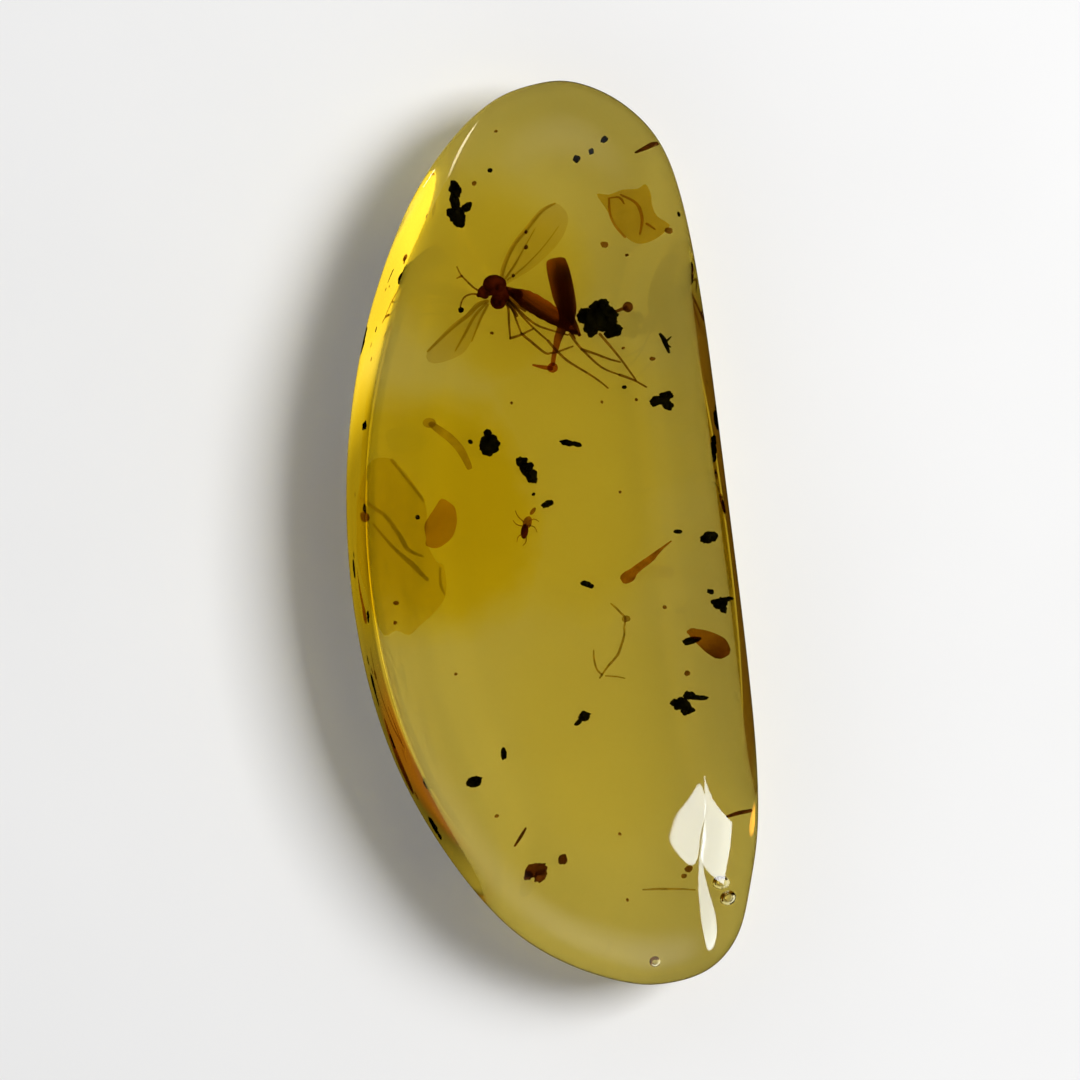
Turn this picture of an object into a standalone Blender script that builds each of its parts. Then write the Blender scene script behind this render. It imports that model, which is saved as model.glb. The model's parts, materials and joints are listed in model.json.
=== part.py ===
"""Fungus gnat in amber.

A freeform, polished drop of clear amber shaped like a half moon, with a fungus gnat and
bits of bark, wood, resin and leaf sealed in it. It lies on its flat underside. +Y runs to
the blunt end where the gnat is, +X to the straight side, +Z up, and the origin is under
the middle of the drop. The drop is parted just below the gnat, and every inclusion
lies in a pocket that opens at the parting.
"""
import math

import bmesh
import bpy
from mathutils import Matrix, Vector, noise

MM = 0.001

# Amber drop
OUTLINE = (
    (0.8, -13.40), (2.1, -13.64), (3.5, -13.38), (4.5, -12.45), (5.07, -10.9), (5.5, -9.2),
    (5.72, -6.8), (5.79, -3.5), (5.79, 0.0), (5.78, 3.5), (5.74, 6.4), (5.56, 9.3),
    (5.1, 11.4), (4.05, 12.8), (2.7, 13.58), (1.5, 13.64), (0.2, 13.29), (-1.2, 12.25),
    (-2.6, 10.6), (-3.85, 8.3), (-4.8, 5.8), (-5.5, 2.8), (-5.79, -0.6), (-5.6, -3.8),
    (-4.95, -6.6), (-3.8, -9.2), (-2.4, -11.3), (-0.9, -12.58),
)
CURVE_STEPS = 2
SPINE_MIDDLE = Vector((1.1, -0.1))
SPINE_REACH = Vector((-0.1, 7.3))
GIRDLE = 2.4
KEEL_WIDTH = 3.0
KEEL_END_STRETCH = -0.6
SHOULDER_WIDTH = 2.0
SHOULDER_RISE = 2.15
SHOULDER_END_STRETCH = 0.35
LOW_SIDE = Vector((-0.89, 0.45))
LOW_STRETCH = 0.5
SECTION_STEPS = 4
CROWN_RISE = 0.55
CROWN_SHARES = (0.35, 0.75)
PARTING = 2.90
PARTING_GAP = 0.30
POCKET_GAP = 0.25
POCKET_SIDES = 8
WELD = 1e-6

# Gnat
GNAT_LEVEL = 3.50
LEG_LEVEL = 3.35
LEG_RADIUS = 0.040
FEELER_RADIUS = 0.032
WING_THICKNESS = 0.05
HEAD = (-0.68, 7.52)
HEAD_RADIUS = 0.18
THORAX = (-0.34, 7.70)
THORAX_RADIUS = 0.32
FLANK = (-0.31, 7.23)
FLANK_RADIUS = 0.23
ABDOMEN = (
    (-0.12, 7.52, 0.12), (0.24, 7.36, 0.17), (0.60, 7.10, 0.26), (1.04, 6.77, 0.28),
    (1.44, 6.42, 0.24), (1.74, 6.12, 0.14), (1.90, 5.92, 0.05),
)
UPPER_WING = (
    (-0.30, 7.78), (-0.01, 8.20), (0.31, 8.78), (0.82, 9.28), (1.29, 9.73), (1.70, 9.89),
    (1.97, 9.60), (1.97, 9.24), (1.65, 8.72), (0.93, 8.14), (0.24, 7.80), (-0.16, 7.65),
)
UPPER_WING_TILT = -3.0
UPPER_WING_LEVEL = 3.58
LOWER_WING = (
    (-0.46, 7.36), (-0.79, 7.28), (-1.66, 6.63), (-2.47, 5.97), (-2.29, 5.63),
    (-1.57, 5.89), (-1.22, 6.27), (-0.69, 7.05), (-0.42, 7.18),
)
LOWER_WING_TILT = 3.0
LOWER_WING_LEVEL = 3.53
LEGS = {
    "front_leg": ((-0.16, 7.20), (-0.01, 6.99), (-0.09, 6.10), (0.25, 6.17), (0.60, 6.29)),
    "middle_leg": ((-0.12, 7.24), (0.11, 6.86), (0.25, 6.20), (0.87, 5.54), (1.21, 5.53),
                   (1.68, 5.64)),
    "far_leg": ((-0.06, 7.28), (0.32, 6.74), (0.58, 6.37), (0.99, 5.89), (1.26, 5.49),
                (1.53, 5.18), (2.05, 4.76), (2.54, 4.28)),
    "hind_leg": ((-0.06, 7.33), (0.47, 6.64), (0.78, 6.36), (1.19, 6.16), (1.58, 5.99),
                 (1.78, 5.75), (1.98, 5.45), (2.44, 4.91), (2.92, 4.63), (3.36, 4.39),
                 (3.64, 4.17)),
    "hind_tarsus": ((1.94, 5.52), (2.33, 5.32), (2.99, 5.00)),
    "crossed_leg": ((2.53, 5.86), (3.07, 4.99), (3.38, 4.40)),
}
FEELERS = {
    "upper_feeler": ((-0.68, 7.50), (-0.88, 7.58), (-1.22, 8.09), (-1.29, 8.33)),
    "feeler_fork": ((-1.19, 8.05), (-1.34, 8.00)),
    "lower_feeler": ((-0.68, 7.50), (-0.88, 7.41), (-1.07, 7.50), (-1.29, 7.36), (-1.41, 7.11)),
}

# Wood, hair and threads: (x, y, radius) along each of them
SPLINTER_LEVEL = 2.85
SPLINTER = (
    (1.56, 8.20, 0.26), (1.57, 7.74, 0.29), (1.58, 7.15, 0.28), (1.59, 6.57, 0.24),
    (1.37, 6.17, 0.15), (1.21, 5.75, 0.09), (1.09, 5.37, 0.07), (1.04, 5.16, 0.07),
)
SPLINTER_KNOB = (1.03, 5.09, 0.15)
SPLINTER_TAIL = ((1.03, 5.09, 0.06), (0.76, 5.14, 0.05), (0.48, 5.24, 0.04))
SPORE = (3.38, 6.61, 0.15)
SPORE_STALK = ((3.38, 6.61, 0.05), (3.22, 6.57, 0.05), (3.06, 6.53, 0.05))
SPORE_LEVEL = 2.90
PLANT_HAIR_LEVEL = 2.55
PLANT_HAIR = (
    (-2.60, 3.82, 0.08), (-2.48, 3.69, 0.09), (-2.16, 3.35, 0.10), (-1.88, 2.98, 0.11),
    (-1.78, 2.70, 0.10), (-1.72, 2.44, 0.09),
)
PLANT_HAIR_HEAD = (-2.66, 3.88, 0.16)
CLUB_LEVEL = 2.70
CLUB_RISE = 0.15
CLUB_SPLINTER = (
    (2.50, -1.35, 0.12), (2.78, -1.15, 0.11), (3.16, -0.91, 0.09), (3.46, -0.70, 0.05),
    (3.76, -0.47, 0.03),
)
CLUB_HEAD = (2.41, -1.40, 0.19)
THREAD_LEVEL = 2.50
THREAD_RISE = 0.10
THREAD = (
    (1.86, -2.10, 0.035), (2.09, -2.35, 0.035), (2.22, -2.58, 0.035), (2.15, -2.84, 0.035),
    (2.08, -3.22, 0.035), (1.89, -3.62, 0.035), (1.59, -3.91, 0.035), (1.30, -4.26, 0.035),
)
THREAD_KNOT = (2.24, -2.61, 0.12)
FIBRE = ((1.80, -10.61, 0.035), (2.51, -10.68, 0.035), (3.15, -10.76, 0.035))
BROWN_SLIVERS = {
    "brown_sliver_left": ((-1.57, -8.75, 0.035), (-1.34, -8.39, 0.035)),
    "brown_sliver_right": ((4.10, -8.74, 0.05), (4.85, -8.73, 0.05)),
}
SLIVER_LEVEL = 2.65
FORKED_SLIVER = ((4.02, 5.69, 0.05), (4.08, 5.42, 0.06), (4.11, 5.14, 0.04))
FORKED_SLIVER_TINE = ((4.08, 5.42, 0.04), (4.17, 5.51, 0.03))

# Flakes and membrane
RESIN_FLAKE_LEVEL = 2.55
RESIN_FLAKE = (
    (2.90, 10.02), (3.53, 9.99), (3.97, 10.00), (4.10, 9.67), (4.15, 9.15), (4.42, 8.88),
    (4.26, 8.50), (3.80, 8.38), (3.60, 8.64), (3.32, 9.05), (3.08, 9.62),
)
RESIN_FLAKE_THICKNESS = 0.12
RESIN_FLAKE_TILT = 3.0
MEMBRANE_LEVEL = 2.75
LEAF_MEMBRANE = (
    (-4.18, 2.98), (-3.75, 2.93), (-3.32, 2.20), (-3.08, 1.60), (-3.26, 0.46), (-3.02, -0.30),
    (-2.82, -0.41), (-2.91, -1.21), (-3.20, -1.70), (-3.89, -2.28), (-4.56, -2.24),
    (-4.92, -1.11), (-5.14, 0.10), (-4.90, 1.91),
)
MEMBRANE_THICKNESS = 0.08
MEMBRANE_TILT = 2.0
ORANGE_FLAKE_LEVEL = 2.60
ORANGE_FLAKE = (
    (-2.67, 1.59), (-2.33, 1.31), (-2.32, 0.85), (-2.46, 0.44), (-2.95, 0.13), (-3.23, 0.33),
    (-3.17, 0.86), (-2.95, 1.25),
)
ORANGE_FLAKE_THICKNESS = 0.10
ORANGE_FLAKE_TILT = 4.0

# Mite and seed
MITE_LEVEL = 2.60
MITE = (-0.36, 0.40)
MITE_SIZE = (0.24, 0.52, 0.20)
MITE_HEAD = (-0.31, 0.74)
MITE_HEAD_SIZE = (0.14, 0.26, 0.13)
MITE_TURN = -8.0
MITE_LEG_RADIUS = 0.03
MITE_LEG_REACH = 0.24
MITE_LEG_ROWS = (0.30, 0.42, 0.54)
SEED = (4.22, -3.58)
SEED_SIZE = (1.00, 0.54, 0.40)
SEED_TURN = -52.0
SEED_TAPER = 0.32

# Crumbs of bark: lobes as (x, y, length, width, height, turn)
CRUMB_LEVEL = 2.60
LOW_CRUMB_LEVEL = 1.60
CRUMBS = {
    "bark_crumb_upper_left": ((-0.88, 10.40, 0.32, 0.60, 0.32, 4),
                              (-0.95, 9.98, 0.26, 0.50, 0.28, 8),
                              (-0.94, 9.68, 0.52, 0.70, 0.50, 20),
                              (-0.62, 9.88, 0.36, 0.26, 0.26, 20)),
    "bark_crumb_oval": ((-1.08, 3.03, 0.58, 0.70, 0.50, -20), (-1.07, 3.42, 0.22, 0.26, 0.20, 0)),
    "bark_crumb_chip": ((-0.12, 2.32, 0.42, 0.52, 0.34, 26), (0.02, 2.00, 0.32, 0.56, 0.30, 24)),
    "bark_crumb_flat": ((1.29, 2.79, 0.66, 0.18, 0.18, -16),),
    "bark_crumb_middle": ((0.39, 1.08, 0.36, 0.19, 0.18, 12),),
    "bark_crumb_small": ((1.26, -1.46, 0.36, 0.20, 0.18, -22),),
    "bark_crumb_right": ((3.76, 3.78, 0.36, 0.42, 0.34, 0), (3.94, 3.70, 0.24, 0.52, 0.28, 12)),
    "bark_crumb_bead": ((4.51, -0.50, 0.38, 0.32, 0.30, 16),),
    "bark_crumb_edge": ((4.60, -2.50, 0.46, 0.50, 0.36, 20), (4.94, -2.42, 0.30, 0.22, 0.22, 0)),
    "bark_crumb_seed": ((3.88, -3.49, 0.34, 0.22, 0.20, 16),),
    "bark_crumb_lobed": ((3.54, -5.36, 0.66, 0.56, 0.44, -14),
                         (3.82, -5.22, 0.42, 0.24, 0.26, -14),
                         (3.64, -5.60, 0.36, 0.36, 0.28, 20)),
    "bark_crumb_tailed": ((0.72, -5.34, 0.36, 0.32, 0.28, 30), (0.53, -5.49, 0.30, 0.16, 0.16, 38)),
    "bark_crumb_lower_left": ((-2.56, -6.80, 0.42, 0.33, 0.28, -8),),
    "bark_crumb_upright": ((-1.74, -6.14, 0.19, 0.36, 0.20, 0),),
    "bark_crumb_brown": ((-1.07, -9.61, 0.56, 0.44, 0.34, -10), (-0.99, -9.77, 0.30, 0.34, 0.26, 0)),
    "bark_crumb_brown_small": ((-0.39, -9.43, 0.27, 0.30, 0.22, 0),),
}
BARK_CLUMP_LEVEL = 3.25
BARK_CLUMP = (
    (2.55, 6.38, 0.74, 0.70, 0.62, 0), (2.19, 6.48, 0.52, 0.56, 0.46, 10),
    (2.62, 6.70, 0.58, 0.52, 0.46, 0), (2.86, 6.40, 0.60, 0.60, 0.50, 20),
    (2.92, 6.00, 0.50, 0.46, 0.42, 0), (2.24, 6.08, 0.44, 0.42, 0.40, 0),
)
CRUMB_ROUGHNESS = 0.12
CRUMB_GRAIN = 9.0
CRUMB_CUTS = 2

# Colours, linear
AMBER_COLOR = (0.62, 0.40, 0.05)
GNAT_COLOR = (0.055, 0.010, 0.003)
WOOD_COLOR = (0.075, 0.012, 0.002)
BARK_COLOR = (0.006, 0.005, 0.004)
BROWN_BARK_COLOR = (0.05, 0.015, 0.005)
HONEY_COLOR = (0.36, 0.20, 0.01)
LEAF_COLOR = (0.36, 0.22, 0.01)
ORANGE_COLOR = (0.30, 0.11, 0.01)
MITE_COLOR = (0.16, 0.04, 0.005)
THREAD_COLOR = (0.16, 0.11, 0.01)


def clear_scene():
    """Start from an empty scene with one collection for the part and one for its cutters."""
    for old in list(bpy.data.objects):
        bpy.data.objects.remove(old)
    collections = []
    for name in ("gnat_in_amber", "cutters"):
        collection = bpy.data.collections.new(name)
        bpy.context.scene.collection.children.link(collection)
        collections.append(collection)
    return collections


PART, CUTTERS = clear_scene()


def finish(name, color, roughness, clear=0.0):
    """Material of one sub-part."""
    material = bpy.data.materials.new(name)
    material.use_nodes = True
    shader = material.node_tree.nodes["Principled BSDF"]
    shader.inputs["Base Color"].default_value = (*color, 1.0)
    shader.inputs["Roughness"].default_value = roughness
    shader.inputs["Metallic"].default_value = 0.0
    shader.inputs["Transmission Weight"].default_value = clear
    return material


AMBER = finish("amber", AMBER_COLOR, 0.05, 1.0)
GNAT = finish("gnat_cuticle", GNAT_COLOR, 0.45)
WOOD = finish("red_wood", WOOD_COLOR, 0.60)
BARK = finish("black_bark", BARK_COLOR, 0.80)
BROWN_BARK = finish("brown_bark", BROWN_BARK_COLOR, 0.75)
HONEY = finish("honey_resin", HONEY_COLOR, 0.35)
LEAF = finish("leaf", LEAF_COLOR, 0.50)
ORANGE = finish("orange_resin", ORANGE_COLOR, 0.40)
MITE_SKIN = finish("mite_skin", MITE_COLOR, 0.40)
THREAD_FINISH = finish("thread", THREAD_COLOR, 0.60)


def place(name, mesh, material=None):
    """Object of the part, shaded smooth apart from its sharp edges."""
    mesh.shade_smooth()
    mesh.set_sharp_from_angle(angle=math.radians(50))
    solid = bpy.data.objects.new(name, mesh)
    if material:
        mesh.materials.clear()
        mesh.materials.append(material)
    PART.objects.link(solid)
    return solid


def from_bmesh(name, bm, material=None):
    """Object made of a finished bmesh."""
    mesh = bpy.data.meshes.new(name)
    bm.to_mesh(mesh)
    bm.free()
    return place(name, mesh, material)


def from_curve(name, curve, material=None, matrix=None):
    """Object made of a curve turned to a mesh, its loose caps welded on."""
    guide = bpy.data.objects.new(name + "_guide", curve)
    guide.matrix_world = matrix or Matrix.Identity(4)
    PART.objects.link(guide)
    bpy.context.view_layer.update()
    mesh = bpy.data.meshes.new_from_object(guide.evaluated_get(bpy.context.evaluated_depsgraph_get()))
    bm = bmesh.new()
    bm.from_mesh(mesh)
    bmesh.ops.remove_doubles(bm, verts=bm.verts, dist=WELD)
    bmesh.ops.recalc_face_normals(bm, faces=bm.faces)
    bm.to_mesh(mesh)
    bm.free()
    solid = place(name, mesh, material)
    solid.matrix_world = guide.matrix_world
    bpy.data.objects.remove(guide)
    bpy.context.view_layer.update()
    return solid


def tube(name, route, level, material=None, slope=0.0, sides=2):
    """Round rod along (x, y, radius) points; it rises by slope from its first point to its last."""
    curve = bpy.data.curves.new(name, "CURVE")
    curve.dimensions = "3D"
    curve.bevel_depth = MM
    curve.bevel_resolution = sides
    curve.use_fill_caps = True
    spline = curve.splines.new("POLY")
    spline.points.add(len(route) - 1)
    for step, (point, (x, y, radius)) in enumerate(zip(spline.points, route)):
        rise = slope * step / (len(route) - 1)
        point.co = (x * MM, y * MM, (level + rise) * MM, 1.0)
        point.radius = radius
    return from_curve(name, curve, material)


def flake(name, outline, level, thickness, material=None, tilt=0.0, rounded=False):
    """Thin flake with a flat outline, tilted about the cross line through its first corner."""
    curve = bpy.data.curves.new(name, "CURVE")
    curve.dimensions = "2D"
    curve.fill_mode = "BOTH"
    curve.extrude = thickness * MM / 2
    curve.resolution_u = 2
    hinge = Vector(outline[0])
    spline = curve.splines.new("BEZIER" if rounded else "POLY")
    spline.use_cyclic_u = True
    corners = spline.bezier_points if rounded else spline.points
    corners.add(len(outline) - 1)
    for corner, point in zip(corners, outline):
        x, y = (Vector(point) - hinge) * MM
        if rounded:
            corner.co = (x, y, 0.0)
            corner.handle_left_type = corner.handle_right_type = "AUTO"
        else:
            corner.co = (x, y, 0.0, 1.0)
    reach = Vector(outline[len(outline) // 2]) - hinge
    across = Vector((reach.y, -reach.x, 0.0))
    lift = Matrix.Rotation(math.radians(tilt), 4, across)
    base = Matrix.Translation((hinge.x * MM, hinge.y * MM, level * MM))
    return from_curve(name, curve, material, base @ lift)


def lump(name, center, size, level, turn=0.0, grain=0.0, taper=0.0, material=None):
    """Rounded crumb; grain makes it knobbly and taper draws in its -X end."""
    bm = bmesh.new()
    bmesh.ops.create_icosphere(bm, subdivisions=CRUMB_CUTS, radius=0.5)
    for corner in bm.verts:
        if grain:
            corner.co *= 1.0 + grain * noise.noise(corner.co * CRUMB_GRAIN + Vector((*center, 0.0)))
        if taper:
            corner.co.yz *= 1.0 + taper * 2.0 * corner.co.x
    shape = (
        Matrix.Translation((center[0] * MM, center[1] * MM, level * MM))
        @ Matrix.Rotation(math.radians(turn), 4, "Z")
        @ Matrix.Diagonal((size[0] * MM, size[1] * MM, size[2] * MM, 1.0))
    )
    bmesh.ops.transform(bm, matrix=shape, verts=bm.verts)
    return from_bmesh(name, bm, material)


def ball(name, place_and_radius, level, material=None):
    """Small round ball at (x, y, radius)."""
    x, y, radius = place_and_radius
    return lump(name, (x, y), (2 * radius,) * 3, level, material=material)


def set_aside(tool):
    """Keep a shape as a cutter or as something already fused into another shape."""
    PART.objects.unlink(tool)
    CUTTERS.objects.link(tool)
    tool.hide_render = True
    tool.display_type = "WIRE"


def combine(body, tool, operation):
    """Boolean between a body and one tool."""
    modifier = body.modifiers.new(tool.name, "BOOLEAN")
    modifier.operation = operation
    modifier.solver = "EXACT"
    modifier.object = tool


def fuse(body, shapes):
    """Grow shapes together with the body."""
    for shape in shapes:
        combine(body, shape, "UNION")
        set_aside(shape)
    return body


def corners_of(pieces):
    """World corners of the pieces and of all that is fused to them."""
    corners = []
    for piece in pieces:
        shapes = [piece] + [modifier.object for modifier in piece.modifiers]
        for shape in shapes:
            corners += [shape.matrix_world @ vertex.co for vertex in shape.data.vertices]
    return corners


def pocket(pieces, name=None):
    """Straight-walled, eight-sided pocket around the pieces, open at the parting."""
    corners = corners_of(pieces)
    gap = POCKET_GAP * MM
    floor = min(min(corner.z for corner in corners) - gap, (PARTING - PARTING_GAP) * MM)
    roof = max(max(corner.z for corner in corners) + gap, (PARTING + PARTING_GAP) * MM)
    reach = 2.0 * max(abs(coordinate) for point in OUTLINE for coordinate in point) * MM
    bm = bmesh.new()
    block = Matrix.Translation((0.0, 0.0, (floor + roof) / 2))
    block @= Matrix.Diagonal((2 * reach, 2 * reach, roof - floor, 1.0))
    bmesh.ops.create_cube(bm, size=1.0, matrix=block)
    for side in range(POCKET_SIDES):
        angle = 2 * math.pi * side / POCKET_SIDES
        outward = Vector((math.cos(angle), math.sin(angle), 0.0))
        wall = max(corner.dot(outward) for corner in corners) + gap
        cut = bmesh.ops.bisect_plane(
            bm, geom=bm.verts[:] + bm.edges[:] + bm.faces[:], dist=WELD,
            plane_co=outward * wall, plane_no=outward, clear_outer=True)
        rim = [item for item in cut["geom_cut"] if isinstance(item, bmesh.types.BMEdge)]
        bmesh.ops.contextual_create(bm, geom=rim)
    bmesh.ops.recalc_face_normals(bm, faces=bm.faces)
    cutter = from_bmesh((name or pieces[0].name) + "_pocket", bm)
    set_aside(cutter)
    return cutter


def amber_outline():
    """Points of the drop's smooth outline, in millimetres, in order round it."""
    curve = bpy.data.curves.new("amber_outline", "CURVE")
    curve.dimensions = "2D"
    curve.fill_mode = "NONE"
    curve.resolution_u = CURVE_STEPS
    spline = curve.splines.new("BEZIER")
    spline.use_cyclic_u = True
    spline.bezier_points.add(len(OUTLINE) - 1)
    for corner, (x, y) in zip(spline.bezier_points, OUTLINE):
        corner.co = (x, y, 0.0)
        corner.handle_left_type = corner.handle_right_type = "AUTO"
    guide = bpy.data.objects.new("amber_outline", curve)
    PART.objects.link(guide)
    mesh = bpy.data.meshes.new_from_object(guide.evaluated_get(bpy.context.evaluated_depsgraph_get()))
    bpy.data.objects.remove(guide)
    return [vertex.co.to_2d() for vertex in mesh.vertices]


def drop_ring(outline, inset, share, height, end_stretch):
    """Ring drawn in from the outline by an inset, then by a share of what is left to the spine."""
    ring = []
    for point in outline:
        along = (point - SPINE_MIDDLE).dot(SPINE_REACH) / SPINE_REACH.length_squared
        along /= (1.0 + along ** 4) ** 0.25
        inward = SPINE_MIDDLE + SPINE_REACH * along - point
        way = inward.normalized()
        stretch = 1.0 + end_stretch * way.y ** 2 + LOW_STRETCH * max(-way.dot(LOW_SIDE), 0.0) ** 2
        drawn = inset * stretch / inward.length
        drawn += (1.0 - drawn) * share
        crown = CROWN_RISE * (1.0 - (1.0 - drawn) ** 2) if height > GIRDLE else 0.0
        ring.append((*(point + inward * drawn), height + crown))
    return ring


def drop_rings():
    """Rings of the drop from its underside up the rounded keel, over the shoulder to the crown."""
    outline = amber_outline()
    quarter = [math.pi / 2 * step / SECTION_STEPS for step in range(SECTION_STEPS + 1)]
    rings = [drop_ring(outline, KEEL_WIDTH * (1.0 - math.cos(turn)), 0.0,
                       GIRDLE * (1.0 - math.sin(turn)), KEEL_END_STRETCH)
             for turn in reversed(quarter[1:])]
    rings += [drop_ring(outline, SHOULDER_WIDTH * (1.0 - math.cos(turn)), 0.0,
                        GIRDLE + SHOULDER_RISE * math.sin(turn), SHOULDER_END_STRETCH)
              for turn in quarter]
    shoulder = GIRDLE + SHOULDER_RISE
    rings += [drop_ring(outline, SHOULDER_WIDTH, share, shoulder, SHOULDER_END_STRETCH)
              for share in CROWN_SHARES]
    top = max(height for x, y, height in rings[-1])
    rings[-1] = [(x, y, top) for x, y, height in rings[-1]]
    return rings


def amber_drop():
    """Closed bmesh of the whole drop: its rings bridged, with flat faces below and on top."""
    bm = bmesh.new()
    loops = []
    for ring in drop_rings():
        corners = [bm.verts.new(Vector(point) * MM) for point in ring]
        loops.append([bm.edges.new(pair) for pair in zip(corners, corners[1:] + corners[:1])])
    for lower, upper in zip(loops, loops[1:]):
        bmesh.ops.bridge_loops(bm, edges=lower + upper)
    for loop in (loops[0], loops[-1]):
        bmesh.ops.contextual_create(bm, geom=loop)
    bmesh.ops.recalc_face_normals(bm, faces=bm.faces)
    return bm


def amber_half(name, side, pockets):
    """The drop above (side 1) or below (side -1) the parting, with the pockets cut out."""
    bm = amber_drop()
    level = (PARTING + side * PARTING_GAP / 2) * MM
    cut = bmesh.ops.bisect_plane(
        bm, geom=bm.verts[:] + bm.edges[:] + bm.faces[:], dist=WELD,
        plane_co=(0.0, 0.0, level), plane_no=(0.0, 0.0, -side), clear_outer=True)
    rim = [item for item in cut["geom_cut"] if isinstance(item, bmesh.types.BMEdge)]
    bmesh.ops.contextual_create(bm, geom=rim)
    bmesh.ops.recalc_face_normals(bm, faces=bm.faces)
    half = from_bmesh(name, bm, AMBER)
    for cutter in pockets:
        combine(half, cutter, "DIFFERENCE")
    return half


def gnat():
    """The gnat, and the groups of its parts that share a pocket: body, upper and lower wing."""
    body = lump("gnat", THORAX, (2 * THORAX_RADIUS,) * 3, GNAT_LEVEL, material=GNAT)
    trunk = [
        ball("head", (*HEAD, HEAD_RADIUS), GNAT_LEVEL),
        ball("flank", (*FLANK, FLANK_RADIUS), GNAT_LEVEL),
        tube("abdomen", ABDOMEN, GNAT_LEVEL, sides=3),
    ]
    trunk += [tube(name, [(x, y, LEG_RADIUS) for x, y in route], LEG_LEVEL, sides=1)
              for name, route in LEGS.items()]
    trunk += [tube(name, [(x, y, FEELER_RADIUS) for x, y in route], GNAT_LEVEL, sides=1)
              for name, route in FEELERS.items()]
    upper = flake("upper_wing", UPPER_WING, UPPER_WING_LEVEL, WING_THICKNESS, tilt=UPPER_WING_TILT)
    lower = flake("lower_wing", LOWER_WING, LOWER_WING_LEVEL, WING_THICKNESS, tilt=LOWER_WING_TILT)
    fuse(body, trunk + [upper, lower])
    return body, trunk, upper, lower


def splinter():
    """Thick wood splinter under the abdomen, narrowing to a stalk, knob and thin tail."""
    rod = tube("splinter", SPLINTER, SPLINTER_LEVEL, WOOD)
    knob = ball("splinter_knob", SPLINTER_KNOB, SPLINTER_LEVEL)
    tail = tube("splinter_tail", SPLINTER_TAIL, SPLINTER_LEVEL)
    return fuse(rod, [knob, tail])


def headed_rod(name, route, head, level, material, slope=0.0):
    """Rod with a ball on its first end, such as a hair, a club or a knotted thread."""
    rod = tube(name, route, level, material, slope)
    return fuse(rod, [ball(name + "_head", head, level)])


def crumb(name, lobes, level, material):
    """Knobbly crumb grown from one or more lobes."""
    shapes = [lump(f"{name}_{number}", lobe[:2], lobe[2:5], level, lobe[5], CRUMB_ROUGHNESS,
                   material=material)
              for number, lobe in enumerate(lobes)]
    body = shapes[0]
    body.name = name
    return fuse(body, shapes[1:])


def mite():
    """Mite with a long body, a small head and three pairs of legs."""
    body = lump("mite", MITE, MITE_SIZE, MITE_LEVEL, MITE_TURN, material=MITE_SKIN)
    shapes = [lump("mite_head", MITE_HEAD, MITE_HEAD_SIZE, MITE_LEVEL, MITE_TURN)]
    for row, y in enumerate(MITE_LEG_ROWS):
        for side in (-1, 1):
            x = MITE[0] + side * MITE_LEG_REACH
            route = ((MITE[0], y, MITE_LEG_RADIUS), (x, y + 0.05 * (row - 1), MITE_LEG_RADIUS))
            shapes.append(tube(f"mite_leg_{row}_{side}", route, MITE_LEVEL - 0.02, sides=1))
    return fuse(body, shapes)


def build():
    """Inclusions first, then their pockets, then the two halves of the drop round them."""
    gnat_body, gnat_trunk, upper_wing, lower_wing = gnat()
    wood = splinter()
    clump = crumb("bark_clump", BARK_CLUMP, BARK_CLUMP_LEVEL, BARK)
    spore = headed_rod("stalked_spore", SPORE_STALK, SPORE, SPORE_LEVEL, WOOD)
    pockets = [
        pocket([*gnat_trunk, wood, clump, spore], "gnat"),
        pocket([upper_wing]),
        pocket([lower_wing]),
    ]

    alone = [
        headed_rod("plant_hair", PLANT_HAIR, PLANT_HAIR_HEAD, PLANT_HAIR_LEVEL, HONEY),
        headed_rod("club_splinter", CLUB_SPLINTER, CLUB_HEAD, CLUB_LEVEL, ORANGE, CLUB_RISE),
        headed_rod("curled_thread", THREAD, THREAD_KNOT, THREAD_LEVEL, THREAD_FINISH, THREAD_RISE),
        tube("fibre", FIBRE, CRUMB_LEVEL, THREAD_FINISH),
        fuse(tube("forked_sliver", FORKED_SLIVER, SLIVER_LEVEL, BARK),
             [tube("forked_sliver_tine", FORKED_SLIVER_TINE, SLIVER_LEVEL)]),
        flake("resin_flake", RESIN_FLAKE, RESIN_FLAKE_LEVEL, RESIN_FLAKE_THICKNESS, HONEY,
              RESIN_FLAKE_TILT),
        flake("leaf_membrane", LEAF_MEMBRANE, MEMBRANE_LEVEL, MEMBRANE_THICKNESS, LEAF, MEMBRANE_TILT),
        flake("orange_flake", ORANGE_FLAKE, ORANGE_FLAKE_LEVEL, ORANGE_FLAKE_THICKNESS, ORANGE,
              ORANGE_FLAKE_TILT),
        mite(),
    ]
    alone += [tube(name, route, SLIVER_LEVEL, BROWN_BARK) for name, route in BROWN_SLIVERS.items()]

    seed = lump("seed", SEED, SEED_SIZE, CRUMB_LEVEL, SEED_TURN, taper=SEED_TAPER, material=ORANGE)
    crumbs = {}
    for name, lobes in CRUMBS.items():
        level = LOW_CRUMB_LEVEL if name == "bark_crumb_right" else CRUMB_LEVEL
        crumbs[name] = crumb(name, lobes, level, BROWN_BARK if "brown" in name else BARK)
    beside_seed = [crumbs.pop("bark_crumb_seed"), crumbs.pop("bark_crumb_edge")]
    pockets.append(pocket([seed, *beside_seed]))
    pockets += [pocket([piece]) for piece in [*alone, *crumbs.values()]]

    amber_half("amber_base", -1, pockets)
    amber_half("amber_top", 1, pockets)


build()
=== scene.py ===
import json
import math

import bmesh
import bpy
from mathutils import Matrix, Quaternion, Vector, noise
from mathutils.geometry import interpolate_bezier

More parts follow.
